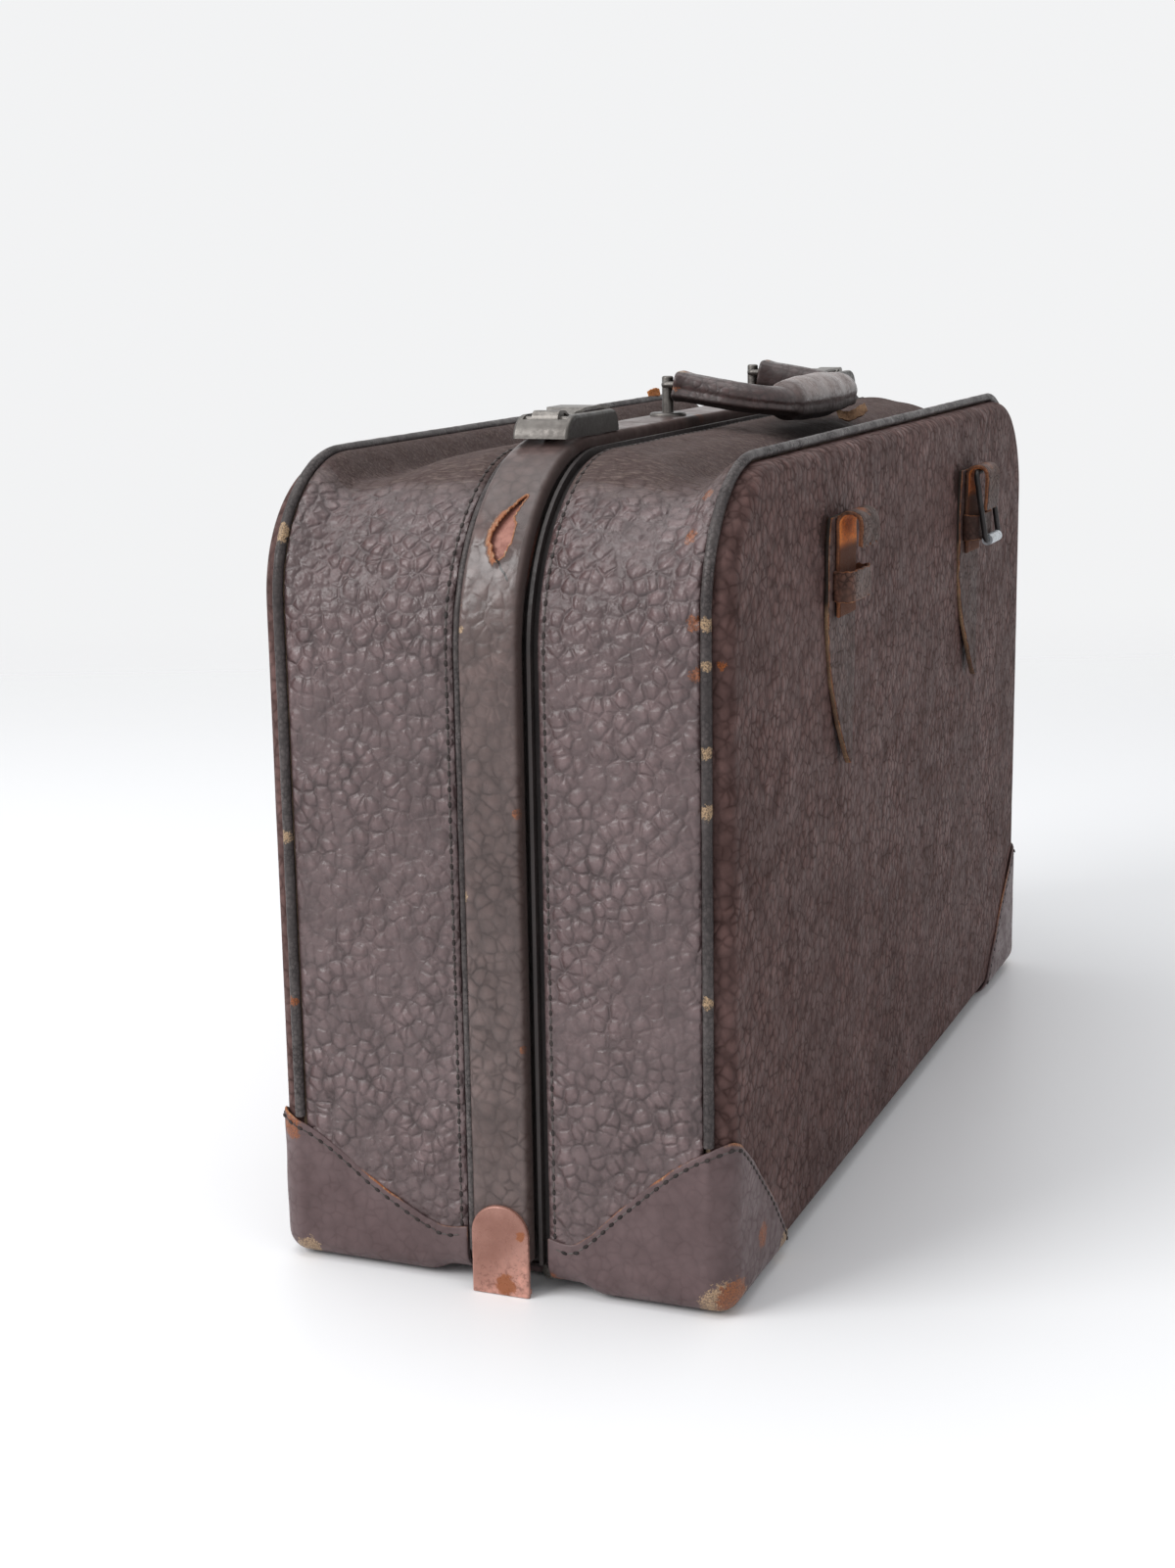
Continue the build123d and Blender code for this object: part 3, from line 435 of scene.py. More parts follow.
def leatherFinish(name, worn=(), smoothAbove=None, sagging=False, flankShade=False, polished=None):
    look = leatherLooks[name]
    main, light, deep, plain = (look[key] for key in ("main", "light", "deep", "cells"))
    material, shader, spot = newMaterial(name)
    grain = useGroup(pebbleGrain, spot, Size=look["size"])
    tone = useGroup(fadedCloud, spot, Scale=9.0)
    height, crease, onTop = grain["Height"], grain["Crease"], 0.0
    if smoothAbove is not None:
        ragged = axis(spot, "Z") + cloud(spot, 60.0) * 0.02
        pebbled = ramp(ragged, (smoothAbove - 4) / 1000, (smoothAbove + 12) / 1000, 1.0, 0.24)
        height, crease = height * pebbled, crease * pebbled
    colour = mix(tone["Fine"] * 0.35, mix(tone["Broad"], main, light), deep)
    dusty = ramp(cloud(spot, 14.0), 0.42, 0.62) * look["dust"]
    # painted shade and light: the creases are darkened, pale with dust in places, and each pebble is darker in its
    # hollows and lighter on its dome, over a random tone per pebble
    colour = mix(crease * (0.55 * plain), colour, mix(dusty, deep, scaled(light, 1.9)))
    shade = (straight(grain["Tone"], 0.0, 1.0, 1 - 0.12 * plain, 1 + 0.10 * plain)
             * straight(grain["Height"], 0.15, 1.15, 1 - 0.34 * plain, 1 + 0.18 * plain))
    grey = add(spot.tree, "ShaderNodeCombineColor", {0: shade, 1: shade, 2: shade})
    colour = mix(1.0, colour, grey, "MULTIPLY")
    chips = useGroup(chipMarks, spot, Scale=330.0, Amount=look["chips"])["Mask"]
    colour = mix(chips * 0.8, colour, mix(cloud(spot, 300.0), hide["rubbed"], hide["tan"]))
    if sagging:
        # the sagging top is darker, rubbed in fine pale streaks, with a painted shadow under the grip
        tops = {key: value / 1000 for key, value in gussetTops.items() if not isinstance(value, tuple)}
        onTop = (ramp(axis(spot, "Z") + cloud(spot, 45.0) * 0.010, tops["low"], tops["full"])
                 * ramp(maths("ABSOLUTE", axis(spot, "X")), tops["within"], tops["beyond"], 1.0, 0.0))
        streaks = ramp(cloud(stretch(spot, (1.0, 0.16, 1.0), 0.5), 760.0, 4.0, 0.75), 0.44, 0.66)
        height = height * straight(onTop, 0.0, 1.0, 1.0, 0.45) + streaks * onTop * 0.22
        colour = mix(onTop * 0.90, colour, mix(streaks * 0.70, hide["darkTop"], hide["paleTop"]))
        # painted shadow: the top is darkened round the spot under the grip
        underGrip = vectors("SUBTRACT", spot, place(*gussetTops["grip"]))
        underGrip = vectors("LENGTH", vectors("MULTIPLY", underGrip, gussetTops["gripSpread"]))
        colour = mix(ramp(underGrip, 0.45, 1.15, 0.93, 0.0) * onTop, colour, hide["soot"])
    fleck = cloud(spot, 1300.0, 3.0, 0.7)
    colour = wearDown(colour, spot, worn, 0.92, lambda bare: mix(ramp(fleck, 0.40, 0.62, 0.0, 0.75), bare, deep))
    # painted shade: the handle's underside is darkened
    paintedShade = painted(spot.tree, "underSide")
    # painted shade on the band's front flank
    if flankShade:
        paintedShade = larger(paintedShade, frontFlankShade(spot, -17.6, -14.6, 1.0))
    colour = mix(paintedShade * 0.85, colour, deep)
    # painted light: the top of the grip is made paler
    rubbedPale = painted(spot.tree, "rubbedPale") * ramp(fleck, 0.30, 0.66, 0.35, 0.95)
    colour = mix(rubbedPale, colour, hide["pale"])
    fibre = cloud(stretch(spot, (1.0, 1.0, 0.35)), 900.0, 4.0, 0.7)
    torn = ramp(painted(spot.tree, "tornEdge") + fibre * 0.5, 0.55, 0.95)
    colour = mix(torn, colour, mix(ramp(fibre, 0.45, 0.75), hide["rust"], hide["tan"]))
    # painted shade: the crack below the tear is drawn near black
    colour = mix(ramp(painted(spot.tree, "darkLine"), 0.3, 0.8), colour, hide["split"])
    rough = straight(tone["Fine"], 0.0, 1.0, look["rough"] - 0.07, look["rough"] + 0.10)
    rough = rough + crease * 0.20 + larger(torn, chips) * 0.30 + larger(onTop, paintedShade) * 0.50
    if polished:
        x, y, z, reach = polished
        away = vectors("DISTANCE", spot, place(x, y, z))
        rough -= ramp(away, 0.4 * reach / 1000, reach / 1000, 0.16, 0.0)
    if sagging:
        rubbed = ramp(axis(spot, "Z"), tops["shineFrom"], tops["shineTo"]) * (1.0 - onTop)
        rough, height = rough - rubbed * 0.13, height * (1.0 + rubbed * 0.35)
    dress(shader, colour, rough, height + torn * (fibre * 1.2), look["relief"], 1.0,
          {"Specular IOR Level": look["shine"]})
    return material


gussetWear = [
    (-296, 92, 366, 16, 0.40, "rust"), (-296, 92, 366, 7, 0.6, "tan"), (-290, -92, 354, 13, 0.24, "rust"),
    (-284, -80, 364, 15, 0.42, "rust"), (-284, -62, 364, 11, 0.34, "rust"), (-274, -93, 372, 12, 0.40, "rust"),
    (-302, -98, 318, 12, 0.26, "rust"), (-302, -99, 296, 11, 0.28, "rust"), (296, -92, 360, 16, 0.45, "rust"),
    (290, 90, 362, 14, 0.4, "rust")]
endLeather, gussetTop = (leatherFinish(name, gussetWear, sagging=True) for name in ("endLeather", "gussetTop"))
# the two dark spots near the tops of the chapes are painted shade; the rust spots are wear
faceLeather = leatherFinish("faceLeather", [
    (-160, -114, 342, 30, 0.42, "soot"), (114, -114, 342, 30, 0.42, "soot"), (-300, -110, 300, 9, 0.25, "rust"),
    (240, 114, 60, 12, 0.3, "rust")])
patchLeather = leatherFinish("patchLeather", [
    (-300, -113, 4, 22, 0.85, "tan"), (-296, -112, 10, 16, 0.7, "rust"), (-262, -116, 26, 14, 0.5, "rust"),
    (-226, -115, 6, 16, 0.6, "tan"), (-304, -88, 76, 9, 0.6, "rust"), (-304, 108, 66, 12, 0.6, "rust"),
    (-304, 102, 4, 14, 0.6, "tan"), (-304, -24, 3, 14, 0.7, "rust"), (300, -114, 5, 18, 0.7, "rust"),
    (300, 114, 5, 18, 0.6, "tan"), (304, 100, 60, 12, 0.5, "rust")])
bandWear = [
    (-309, 11, 325, 7, 0.7, "tan"), (-309, 10, 312, 5, 0.5, "tan"), (-309, -17, 230, 5, 0.7, "rust"),
    (-309, -17, 120, 4, 0.6, "rust"), (-309, 11, 190, 6, 0.45, "tan"), (-60, -18, 391, 9, 0.6, "rust"),
    (309, 11, 260, 8, 0.5, "tan"), (308, -18, 300, 8, 0.5, "rust")]
bandLeather, bandTop = (leatherFinish(name, bandWear, smoothAbove=340, flankShade=True, polished=(-303, -3, 355, 30))
                        for name in ("bandLeather", "bandTop"))
trimLeather = leatherFinish("trimLeather", [
    (-304, -104, 318, 9, 0.38, "tan"), (-304, -104, 300, 7, 0.36, "tan"), (-304, -104, 262, 9, 0.32, "tan"),
    (-304, -104, 236, 12, 0.30, "tan"), (-304, 104, 210, 9, 0.36, "tan"), (-298, 104, 352, 14, 0.42, "tan"),
    (-304, 104, 130, 8, 0.3, "rust"), (-304, -104, 150, 10, 0.28, "tan")])
handleLeather = leatherFinish("handleLeather", [
    (-75, -11, 413, 7, 0.55, "tan"), (-79, -11, 405, 6, 0.45, "rust"), (60, -58, 392, 9, 0.5, "tan"),
    (20, -56, 388, 12, 0.45, "rust"), (72, -14, 408, 9, 0.5, "rust")])
strapLeather = leatherFinish("strapLeather")
chapeLeather = leatherFinish("chapeLeather", [(x, -122, 347, 13, 0.75, "rust") for x in (-137, 137)])
print("leather finishes made")

# metal, cloth, board and thread
metalKeys = ("main", "dull", "rough", "grime", "metal")
metalLooks = {name: dict(zip(metalKeys, row)) for name, row in {
    "lockMetal": ((0.150, 0.140, 0.130), (0.070, 0.062, 0.058), 0.40, 0.45, 0.9),
    "steelFrame": ((0.024, 0.018, 0.017), (0.011, 0.008, 0.008), 0.52, 0.5, 0.2),
    "rearSteel": ((0.050, 0.040, 0.038), (0.018, 0.014, 0.013), 0.46, 0.5, 0.2),
    "shoeLacquer": ((0.370, 0.185, 0.145), (0.200, 0.080, 0.055), 0.30, 0.35, 0.25),
    "hingeSteel": ((0.240, 0.228, 0.212), (0.090, 0.062, 0.045), 0.42, 0.5, 0.9),
    "buckleWire": ((0.045, 0.042, 0.042), (0.016, 0.014, 0.014), 0.38, 0.4, 0.6),
    "rollerMetal": ((0.330, 0.350, 0.370), (0.100, 0.100, 0.105), 0.32, 0.5, 0.8),
}.items()}


def metalFinish(name, worn=(), behindTear=False, flankShade=False):
    look = metalLooks[name]
    main, dull = look["main"], look["dull"]
    material, shader, spot = newMaterial(name)
    tone = useGroup(fadedCloud, spot, Scale=45.0)
    stains = useGroup(chipMarks, spot, Scale=230.0, Amount=look["grime"])["Mask"]
    colour = mix(stains * 0.8, mix(tone["Broad"] * 0.8, main, dull), dull)
    convex = add(spot.tree, "ShaderNodeNewGeometry", None, "Pointiness")
    colour = mix(ramp(convex, 0.52, 0.60) * tone["Fine"], colour, scaled(main, 1.7))
    if behindTear:
        # old red primer where the leather is split
        away = vectors("DISTANCE", spot, place(-300, -4, 353))
        red = mix(tone["Fine"], (0.300, 0.125, 0.092), (0.210, 0.080, 0.058))
        colour = mix(ramp(away, 0.020, 0.030, 1.0, 0.0), colour, red)
    # painted shade on the front walls of the lock cases
    if flankShade:
        colour = mix(frontFlankShade(spot, -17.3, -16.2, 0.80), colour, scaled(dull, 0.35))
    colour = wearDown(colour, spot, worn, 0.9, lambda bare: bare)
    rough = straight(tone["Fine"], 0.0, 1.0, look["rough"] - 0.08, look["rough"] + 0.14)
    rough = maths("ADD", rough, stains * 0.25, True)
    scratches = cloud(stretch(spot, (0.15, 1.0, 1.0)), 900.0, 3.0, 0.7)
    dress(shader, colour, rough, scratches * 0.2 + cloud(spot, 160.0) * 0.8, 0.22, 0.8, {"Metallic": look["metal"]})
    return material


lockMetal, hingeSteel = metalFinish("lockMetal", flankShade=True), metalFinish("hingeSteel")
steelFrame, buckleWire, rollerMetal = metalFinish("steelFrame"), metalFinish("buckleWire"), metalFinish("rollerMetal")
rearSteel = metalFinish("rearSteel", behindTear=True)
shoeLacquer = metalFinish("shoeLacquer", [(-311, -6, 5, 9, 0.7, "rust"), (-311, -14, 30, 7, 0.4, "rust"),
                                          (311, -2, 6, 9, 0.6, "rust")])


def clothFinish(name):
    # plain woven lining, faded and slightly stained
    material, shader, spot = newMaterial(name)
    tone = useGroup(fadedCloud, spot, Scale=7.0)
    across, along, up = (add(spot.tree, "ShaderNodeTexWave", {"Vector": spot, "Scale": 420.0, "Distortion": 0.6,
                         "Detail": 1.0, "Detail Scale": 3.0}, "Fac", bands_direction=way) for way in "XYZ")
    weave = (across + along + up) * 0.34
    colour = mix(tone["Broad"], (0.36, 0.27, 0.19), (0.44, 0.35, 0.25))
    colour = mix(tone["Fine"] * 0.3, colour, (0.24, 0.17, 0.11))
    colour = mix(ramp(weave, 0.3, 0.7, 0.3, 0.0), colour, (0.16, 0.11, 0.07))
    dress(shader, colour, ramp(weave, 0.0, 1.0, 0.95, 0.75), weave, 0.3, 0.8, {"Sheen Weight": 0.3})
    return material


def boardFinish(name):
    material, shader, spot = newMaterial(name)
    tone = useGroup(fadedCloud, spot, Scale=30.0)
    colour = mix(tone["Fine"], (0.36, 0.25, 0.16), (0.25, 0.16, 0.10))
    dress(shader, colour, ramp(tone["Broad"], 0.0, 1.0, 0.80, 0.95), tone["Fine"], 0.2, 0.6)
    return material


def threadFinish(name, light, dark):
    material, shader, spot = newMaterial(name)
    tone = useGroup(fadedCloud, spot, Scale=60.0)
    dress(shader, mix(tone["Broad"], light, dark), ramp(tone["Fine"], 0.0, 1.0, 0.7, 0.95),
          cloud(spot, 2500.0, 2.0), 0.1, 0.7)
    return material


def rawFinish(name, light, dark, unshadedBetween=None):
    # between the heights in mm given by the last argument the colour stays clear; above and below them it is painted
    # dark as shade
    material, shader, spot = newMaterial(name)
    tone = useGroup(fadedCloud, spot, Scale=50.0)
    fuzz = cloud(spot, 900.0, 4.0, 0.75)
    colour = mix(ramp(fuzz, 0.35, 0.62, 0.5, 0.0), mix(tone["Broad"], light, dark), scaled(dark, 0.3))
    if unshadedBetween:
        low, high = (edge / 1000 for edge in unshadedBetween)
        up = axis(spot, "Z")
        clear = ramp(up, low - 0.006, low) * ramp(up, high, high + 0.006, 1.0, 0.0)
        colour = mix(clear, scaled(dark, 0.16), colour)
    dress(shader, colour, ramp(fuzz, 0.2, 0.8, 0.75, 0.98), fuzz, 0.6, 1.0)
    return material


liningCloth, pressedBoard = clothFinish("liningCloth"), boardFinish("pressedBoard")
thread = threadFinish("thread", (0.120, 0.104, 0.098), (0.045, 0.035, 0.033))
awlHole = threadFinish("awlHole", (0.016, 0.011, 0.010), (0.030, 0.021, 0.019))
# the flesh side and the cut edges are painted dark as shade outside their given heights, under the loops and keepers
fleshSide = rawFinish("fleshSide", (0.900, 0.280, 0.055), (0.560, 0.150, 0.035), (338, 360))
cutEdge = rawFinish("cutEdge", (0.300, 0.180, 0.100), (0.110, 0.058, 0.034), (200, 304))
tornRim = rawFinish("tornRim", (0.330, 0.120, 0.050), (0.080, 0.036, 0.022))
scrapLeather = rawFinish("scrapLeather", (0.750, 0.470, 0.280), (0.320, 0.170, 0.095))
frayedHide = rawFinish("frayedHide", (0.720, 0.270, 0.060), (0.420, 0.140, 0.035))
print("other finishes made")

# The gussets: leather round the sides, sagging on top between the frame and the face.
gussets = {
    "rear": {"side": 1, "columns": 440, "rows": 22, "stations": [
        (16.0, 0.0, 4.3, 86.0, 10.0), (25.0, 0.0, 4.3, 86.0, 10.0), (39.0, 2.9, 0.0, 80.0, 13.5),
        (84.0, 14.5, 0.0, 61.5, 13.5), (100.9, 0.0, 0.0, 65.5, 13.5)]},
    "front": {"side": -1, "columns": 440, "rows": 20, "stations": [
        (24.6, 0.0, 4.3, 86.0, 10.0), (37.1, 0.0, 4.3, 86.0, 10.0), (51.1, 2.9, 0.0, 80.0, 13.5),
        (84.0, 14.5, 0.0, 61.5, 13.5), (100.9, 0.0, 0.0, 65.5, 13.5)]},
}
gussetLeather = {"wall": 2.3, "swell": 1.1, "wrinkle": 0.5, "fullness": 0.9, "topHeight": 367.5, "topReach": 262}


def gussetSpot(half, u, v):
    look = gussets[half]
    y, spot = stationPoint(look, case["half"], u, v)
    x, z, side = spot[0], spot[1], look["side"]
    fade = ease((y - look["stations"][0][0]) / 10) * ease((look["stations"][-1][0] - y) / 10) * clamp((z - 2) / 25)
    swell = gussetLeather["swell"] * rumple(x, side * y, z, 55, 3.1)
    swell += gussetLeather["wrinkle"] * rumple(x, 1.6 * side * y, z, 19, 7.7)
    return pushOut(spot, side * y, (swell + gussetLeather["fullness"]) * fade)


for half, look in gussets.items():
    mesh = shapeGrid(look["columns"], look["rows"], lambda u, v: gussetSpot(half, u, v), closed=True)
    piece = finishPiece(half + "GussetLeather", mesh, endLeather, half + "_half", "grain_leather",
                        [half + "_gusset"], awayRound, gussetLeather["wall"], 1)
    dullTop(piece, gussetTop, gussetLeather["topHeight"], gussetLeather["topReach"])
print("gussets made")

# The band over the steel frame, its welt, and the split in it near the top of the left end.
band = {"foot": 16.2, "rise": 6.5, "columns": 360, "rows": 22, "wall": 1.15, "topHeight": 384, "topReach": 235,
        "profile": [(11.0, 0.3), (11.0, 2.4), (11.0, 4.2), (10.4, 5.6), (9.2, 6.35), (7.0, 6.6), (3.0, 6.7),
                    (-3.5, 6.75), (-10.0, 6.7), (-14.0, 6.6), (-16.2, 6.35), (-17.4, 5.6), (-18.0, 4.2),
                    (-18.0, 2.4), (-18.0, 0.3)],
        "tear": [(-11.8, 369.0), (-8.4, 366.5), (-5.6, 362.8), (-2.6, 358.8), (-0.4, 354.6), (-0.3, 349.6),
                 (-2.2, 345.2), (-5.2, 341.2), (-7.6, 344.2), (-9.8, 350.0), (-9.9, 355.6), (-8.4, 360.0),
                 (-9.2, 364.2)],
        "crack": [(-5.0, 342.0), (-6.6, 340.2), (-7.4, 338.4), (-9.6, 336.4), (-11.4, 333.6)],
        # windows of y and z: where the mesh is fine, where the rim of the tear is, how far its wear goes
        "fine": (-15, 4, 330, 374), "rim": (-17, 4, 336, 378), "frayed": (-18.1, 8, 328, 384)}
welt = {"y": 13.5, "radius": 2.35, "sink": -0.6, "rise": 2.7, "over": 1.8, "wobble": 0.18}


def bandSpot(t, v):
    y, rise = curveThrough(band["profile"], v)
    spot = outlinePoint(overTop(t, band["foot"], frameOutline, band["rise"]), frameOutline, rise)
    return pushOut(spot, y, 0.22 * rumple(spot[0], y, spot[1], 30, 1.3) * ease(rise / 4))


def weltSpot(t, v):
    y = welt["y"] + welt["radius"] * math.cos(math.pi * v)
    rise = welt["sink"] + welt["rise"] * math.sin(math.pi * v)
    spot = outlinePoint(overTop(t, band["foot"], frameOutline, welt["over"]), frameOutline, rise)
    wobble = welt["wobble"] * rumple(spot[0], y, spot[1], 9, 5.5)
    return pushOut(spot, y + wobble, wobble)


def insideShape(y, z, shape):
    hit = False
    for (y1, z1), (y2, z2) in zip(shape, shape[1:] + shape[:1]):
        if (z1 > z) != (z2 > z) and y < (y2 - y1) * (z - z1) / (z2 - z1) + y1:
            hit = not hit
    return hit


def awayFrom(y, z, line):
    # distance from a flat line of points
    best, p = 1e9, Vector((y, z))
    for a, b in zip(line, line[1:]):
        a, b = Vector(a), Vector(b)
        t = clamp((p - a).dot(b - a) / max((b - a).length_squared, 1e-9))
        best = min(best, (p - a - t * (b - a)).length)
    return best


def caseFlat(co):
    # millimetres in the case's frame, seen from the end
    return (co.y - middleY) * 1000, co.z * 1000


def onLeftEnd(co, window):
    (y, z), (lowY, highY, lowZ, highZ) = caseFlat(co), window
    return co.x < -0.2 and lowY < y < highY and lowZ < z < highZ


def tornOut(face):
    y, z = caseFlat(face.calc_center_median())
    shift = rumple(y, 0, z, 2.3, 4.2)
    return insideShape(y + shift, z - shift, band["tear"])


def tearBand(mesh):
    near = [face for face in mesh.faces if onLeftEnd(face.calc_center_median(), band["fine"])]
    edges = list({edge for face in near for edge in face.edges})
    bmesh.ops.subdivide_edges(mesh, edges=edges, cuts=4, use_grid_fill=True)
    torn, split = (mesh.verts.layers.float.new(name) for name in ("tornEdge", "darkLine"))
    gone = [face for face in mesh.faces if face.calc_center_median().x <= -0.2 and tornOut(face)]
    bmesh.ops.delete(mesh, geom=gone, context="FACES")
    rim = [vert.co.copy() for vert in mesh.verts if vert.is_boundary and onLeftEnd(vert.co, band["rim"])]
    for vert in mesh.verts:
        if not onLeftEnd(vert.co, band["frayed"]):
            continue
        y, z = caseFlat(vert.co)
        away = min((vert.co - p).length for p in rim) * 1000
        # the rear lip of the tear is wide and fibrous, the front one thin
        wide = 4.2 if y > -4 and z < 362 else 1.5
        vert[torn] = clamp(1.0 - away / wide)
        # marks the crack line for its painted shade
        vert[split] = clamp(1.4 - awayFrom(y, z, band["crack"]) / 0.55)
        lift = (1.3 if y > -6 else 0.5) * clamp(1 - away / 5.0) ** 2
        vert.co += Vector((-1, 0, 0.35)).normalized() * lift / 1000


mesh = shapeGrid(band["columns"], band["rows"], bandSpot)
tearBand(mesh)
piece = finishPiece("bandLeatherCover", mesh, bandLeather, "rear_half", "band_leather", ["band_cover"], awayRound,
                    band["wall"], 1)
dullTop(piece, bandTop, band["topHeight"], band["topReach"])
finishPiece("weltBead", shapeGrid(520, 8, weltSpot), trimLeather, "rear_half", "welt_leather", ["band_welt"],
            awayRound, 0.8, 1)
print("band and welt made")

# The padded faces, their piping and the corner patches.
panelShape = {"half": 299.8, "base": 5.2, "top": 381.8, "upper": 62.8, "lower": 10.8, "roll": 7.0, "crown": 1.5,
              "dent": 0.8, "wrinkle": 0.35, "columns": 118, "rows": 78, "wall": 2.0, "skirt": 101.2}


def roundedSpot(u, v, shape):
    # u and v over a plate with round corners; the last value is the distance from its edge
    a, b, crowd = 2 * u - 1, 2 * v - 1, 1.5
    half, tall = shape["half"], (shape["top"] - shape["base"]) / 2
    fromSide, fromEnd = half * (1 - abs(a)) ** crowd, tall * (1 - abs(b)) ** crowd
    radius = shape["upper"] if b > 0 else shape["lower"]
    away = min(fromSide, fromEnd)
    x, z = half - fromSide, tall - fromEnd
    if fromSide < radius and fromEnd < radius:
        across, up = radius - fromSide, radius - fromEnd
        longest, length = max(across, up), max(math.hypot(across, up), 1e-6)
        x, z = half - radius + across * longest / length, tall - radius + up * longest / length
        away = radius - longest
    middle = (shape["top"] + shape["base"]) / 2
    return math.copysign(x, a), middle + math.copysign(z, b), away


def panelSpot(side, u, v):
    look = panelShape
    x, z, away = roundedSpot(u, v, look)
    roll = look["roll"]
    depth = case["face"] - roll + math.sqrt(max(roll ** 2 - (roll - min(away, roll)) ** 2, 0.0))
    depth += look["crown"] * (1 - (x / look["half"]) ** 2) * (1 - ((z - 193) / 190) ** 2)
    depth += look["dent"] * rumple(x, 0, z, 85, 2.2 * side) * ease(away / 25)
    depth += look["wrinkle"] * rumple(x, 0, z, 24, 6.1 * side) * ease(away / 12)
    return x, side * depth, z


for half, look in gussets.items():
    side = look["side"]
    mesh = shapeGrid(panelShape["columns"], panelShape["rows"], lambda u, v: panelSpot(side, u, v))
    rim = [edge for edge in mesh.edges if edge.is_boundary]
    for part in bmesh.ops.extrude_edge_only(mesh, edges=rim)["geom"]:
        if isinstance(part, bmesh.types.BMVert):
            part.co.y = side * panelShape["skirt"] / 1000 + middleY
    bmesh.ops.recalc_face_normals(mesh, faces=mesh.faces)
    finishPiece(half + "FaceLeather", mesh, faceLeather, half + "_half", "grain_leather", [half + "_panel"],
                lambda middle: Vector((0, side, 0)), panelShape["wall"], 1)

pipe = {"radius": 2.5, "wobble": 0.16, "overColumns": 560, "baseColumns": 150, "baseShare": 0.226, "tuck": 2.0}
patches = {"rear": {"side": 1, "height": 74.0, "start": 16.0, "flange": 25.0},
           "front": {"side": -1, "height": 84.0, "start": 24.6, "flange": 37.1}}


def pipingSpot(side, u, v):
    spot = outlinePoint(u, pipeOutline)
    radius = pipe["radius"] + pipe["wobble"] * rumple(spot[0], side * 40, spot[1], 7, 8.8)
    angle = 2 * math.pi * v
    return pushOut(spot, side * (case["beadLine"] + radius * math.sin(angle)), radius * math.cos(angle))


for half, look in patches.items():
    foot, side = look["height"] - pipe["tuck"], look["side"]
    for name, columns, way, replaced in (
            ("Piping", pipe["overColumns"], lambda u: overTop(u, foot, pipeOutline), [half + "_piping"]),
            ("BasePiping", pipe["baseColumns"], lambda u: pipe["baseShare"] * (u - 0.5), ())):
        mesh = shapeGrid(columns, 10, lambda u, v: pipingSpot(side, way(u), v), closed=True)
        bmesh.ops.recalc_face_normals(mesh, faces=mesh.faces)
        finishPiece(half + name, mesh, trimLeather, half + "_half", "welt_leather", replaced)
print("faces and piping made")

patchShape = {"outX": 304.4, "outY": 115.9, "corner": 11.6, "wall": 1.5, "tip": 218.6, "foot": 28.0,
              "columns": 96, "rows": 26, "seam": 3.8, "beadSwell": 0.9, "rumple": 0.5}
corners = [(half, left, word + half.capitalize() + "Patch", word + "_" + half + "_corner")
           for half in patches for word, left in sides.items()]


def patchLengths(half):
    # from the parting line to the corner, round it, and on to the tip
    shape, radius = patchShape, patchShape["corner"]
    return shape["outY"] - radius - patches[half]["start"], radius * math.pi / 2, shape["outX"] - radius - shape["tip"]


def patchBase(half, y):
    return 0.3 + 4.3 * (1 - ease((y - patches[half]["flange"]) / 14))


def patchTop(half, s):
    height, start = patches[half]["height"], patches[half]["start"]
    first, bend, last = patchLengths(half)
    after = first + bend + patchShape["outX"] - patchShape["corner"]
    return splineAt([(0, patchShape["foot"]), (14, patchShape["foot"] - 1), (64 - start, 0.5 * height + 8),
                     (90 - start, 0.86 * height), (first + 0.5 * bend, height), (after - 290.0, 0.95 * height),
                     (after - 257.0, 0.6 * height), (after - 223.0, 0.16 * height), (after - 217.5, 1.0)], s)


def patchSpot(half, left, s, z):
    # s runs from the parting line round the corner to the tip
    look, shape, radius = patches[half], patchShape, patchShape["corner"]
    first, bend, last = patchLengths(half)
    if s <= first:
        x, y, outX, outY = shape["outX"], look["start"] + s, 1.0, 0.0
    elif s <= first + bend:
        outX, outY = math.cos((s - first) / radius), math.sin((s - first) / radius)
        x, y = shape["outX"] - radius + radius * outX, shape["outY"] - radius + radius * outY
    else:
        x, y, outX, outY = shape["outX"] - radius - (s - first - bend), shape["outY"], 0.0, 1.0
    up = z - patchBase(half, y)
    fade = ease(up / 12)
    out = math.sqrt(max(radius ** 2 - (radius - clamp(up, 0, radius)) ** 2, 0.0)) - radius
    if s < first + bend:
        out += shape["beadSwell"] * math.exp(-((y - case["beadLine"]) / 3.0) ** 2) * fade
    out += shape["rumple"] * rumple(x * left, y, z, 21, 5.0 + look["side"]) * fade
    return left * (x + outX * out), look["side"] * (y + outY * out), z


def patchSheet(half, left, u, v):
    s = u * sum(patchLengths(half))
    base = patchBase(half, patches[half]["start"] + s)
    top = patchTop(half, s) + patchShape["rumple"] * rumple(s, left, 0, 5, 1.7)
    return patchSpot(half, left, s, base + v ** 1.4 * (top - base))


def patchMiddle(half, left):
    return Vector((left * 250, patches[half]["side"] * 60, 45))


for half, left, name, node in corners:
    mesh = shapeGrid(patchShape["columns"], patchShape["rows"], lambda u, v: patchSheet(half, left, u, v))
    layer = mesh.verts.layers.float.new("tornEdge")
    for vert in mesh.verts:
        if vert.is_boundary and vert.co.z > 0.006:
            vert[layer] = 0.34 + 0.55 * noise.noise(vert.co * 55)
    mesh.normal_update()
    centre = place(*patchMiddle(half, left))
    finishPiece(name, mesh, patchLeather, half + "_half", "patch_leather", [node], lambda middle: middle - centre,
                patchShape["wall"], 1, "ALL")
print("corner patches made")

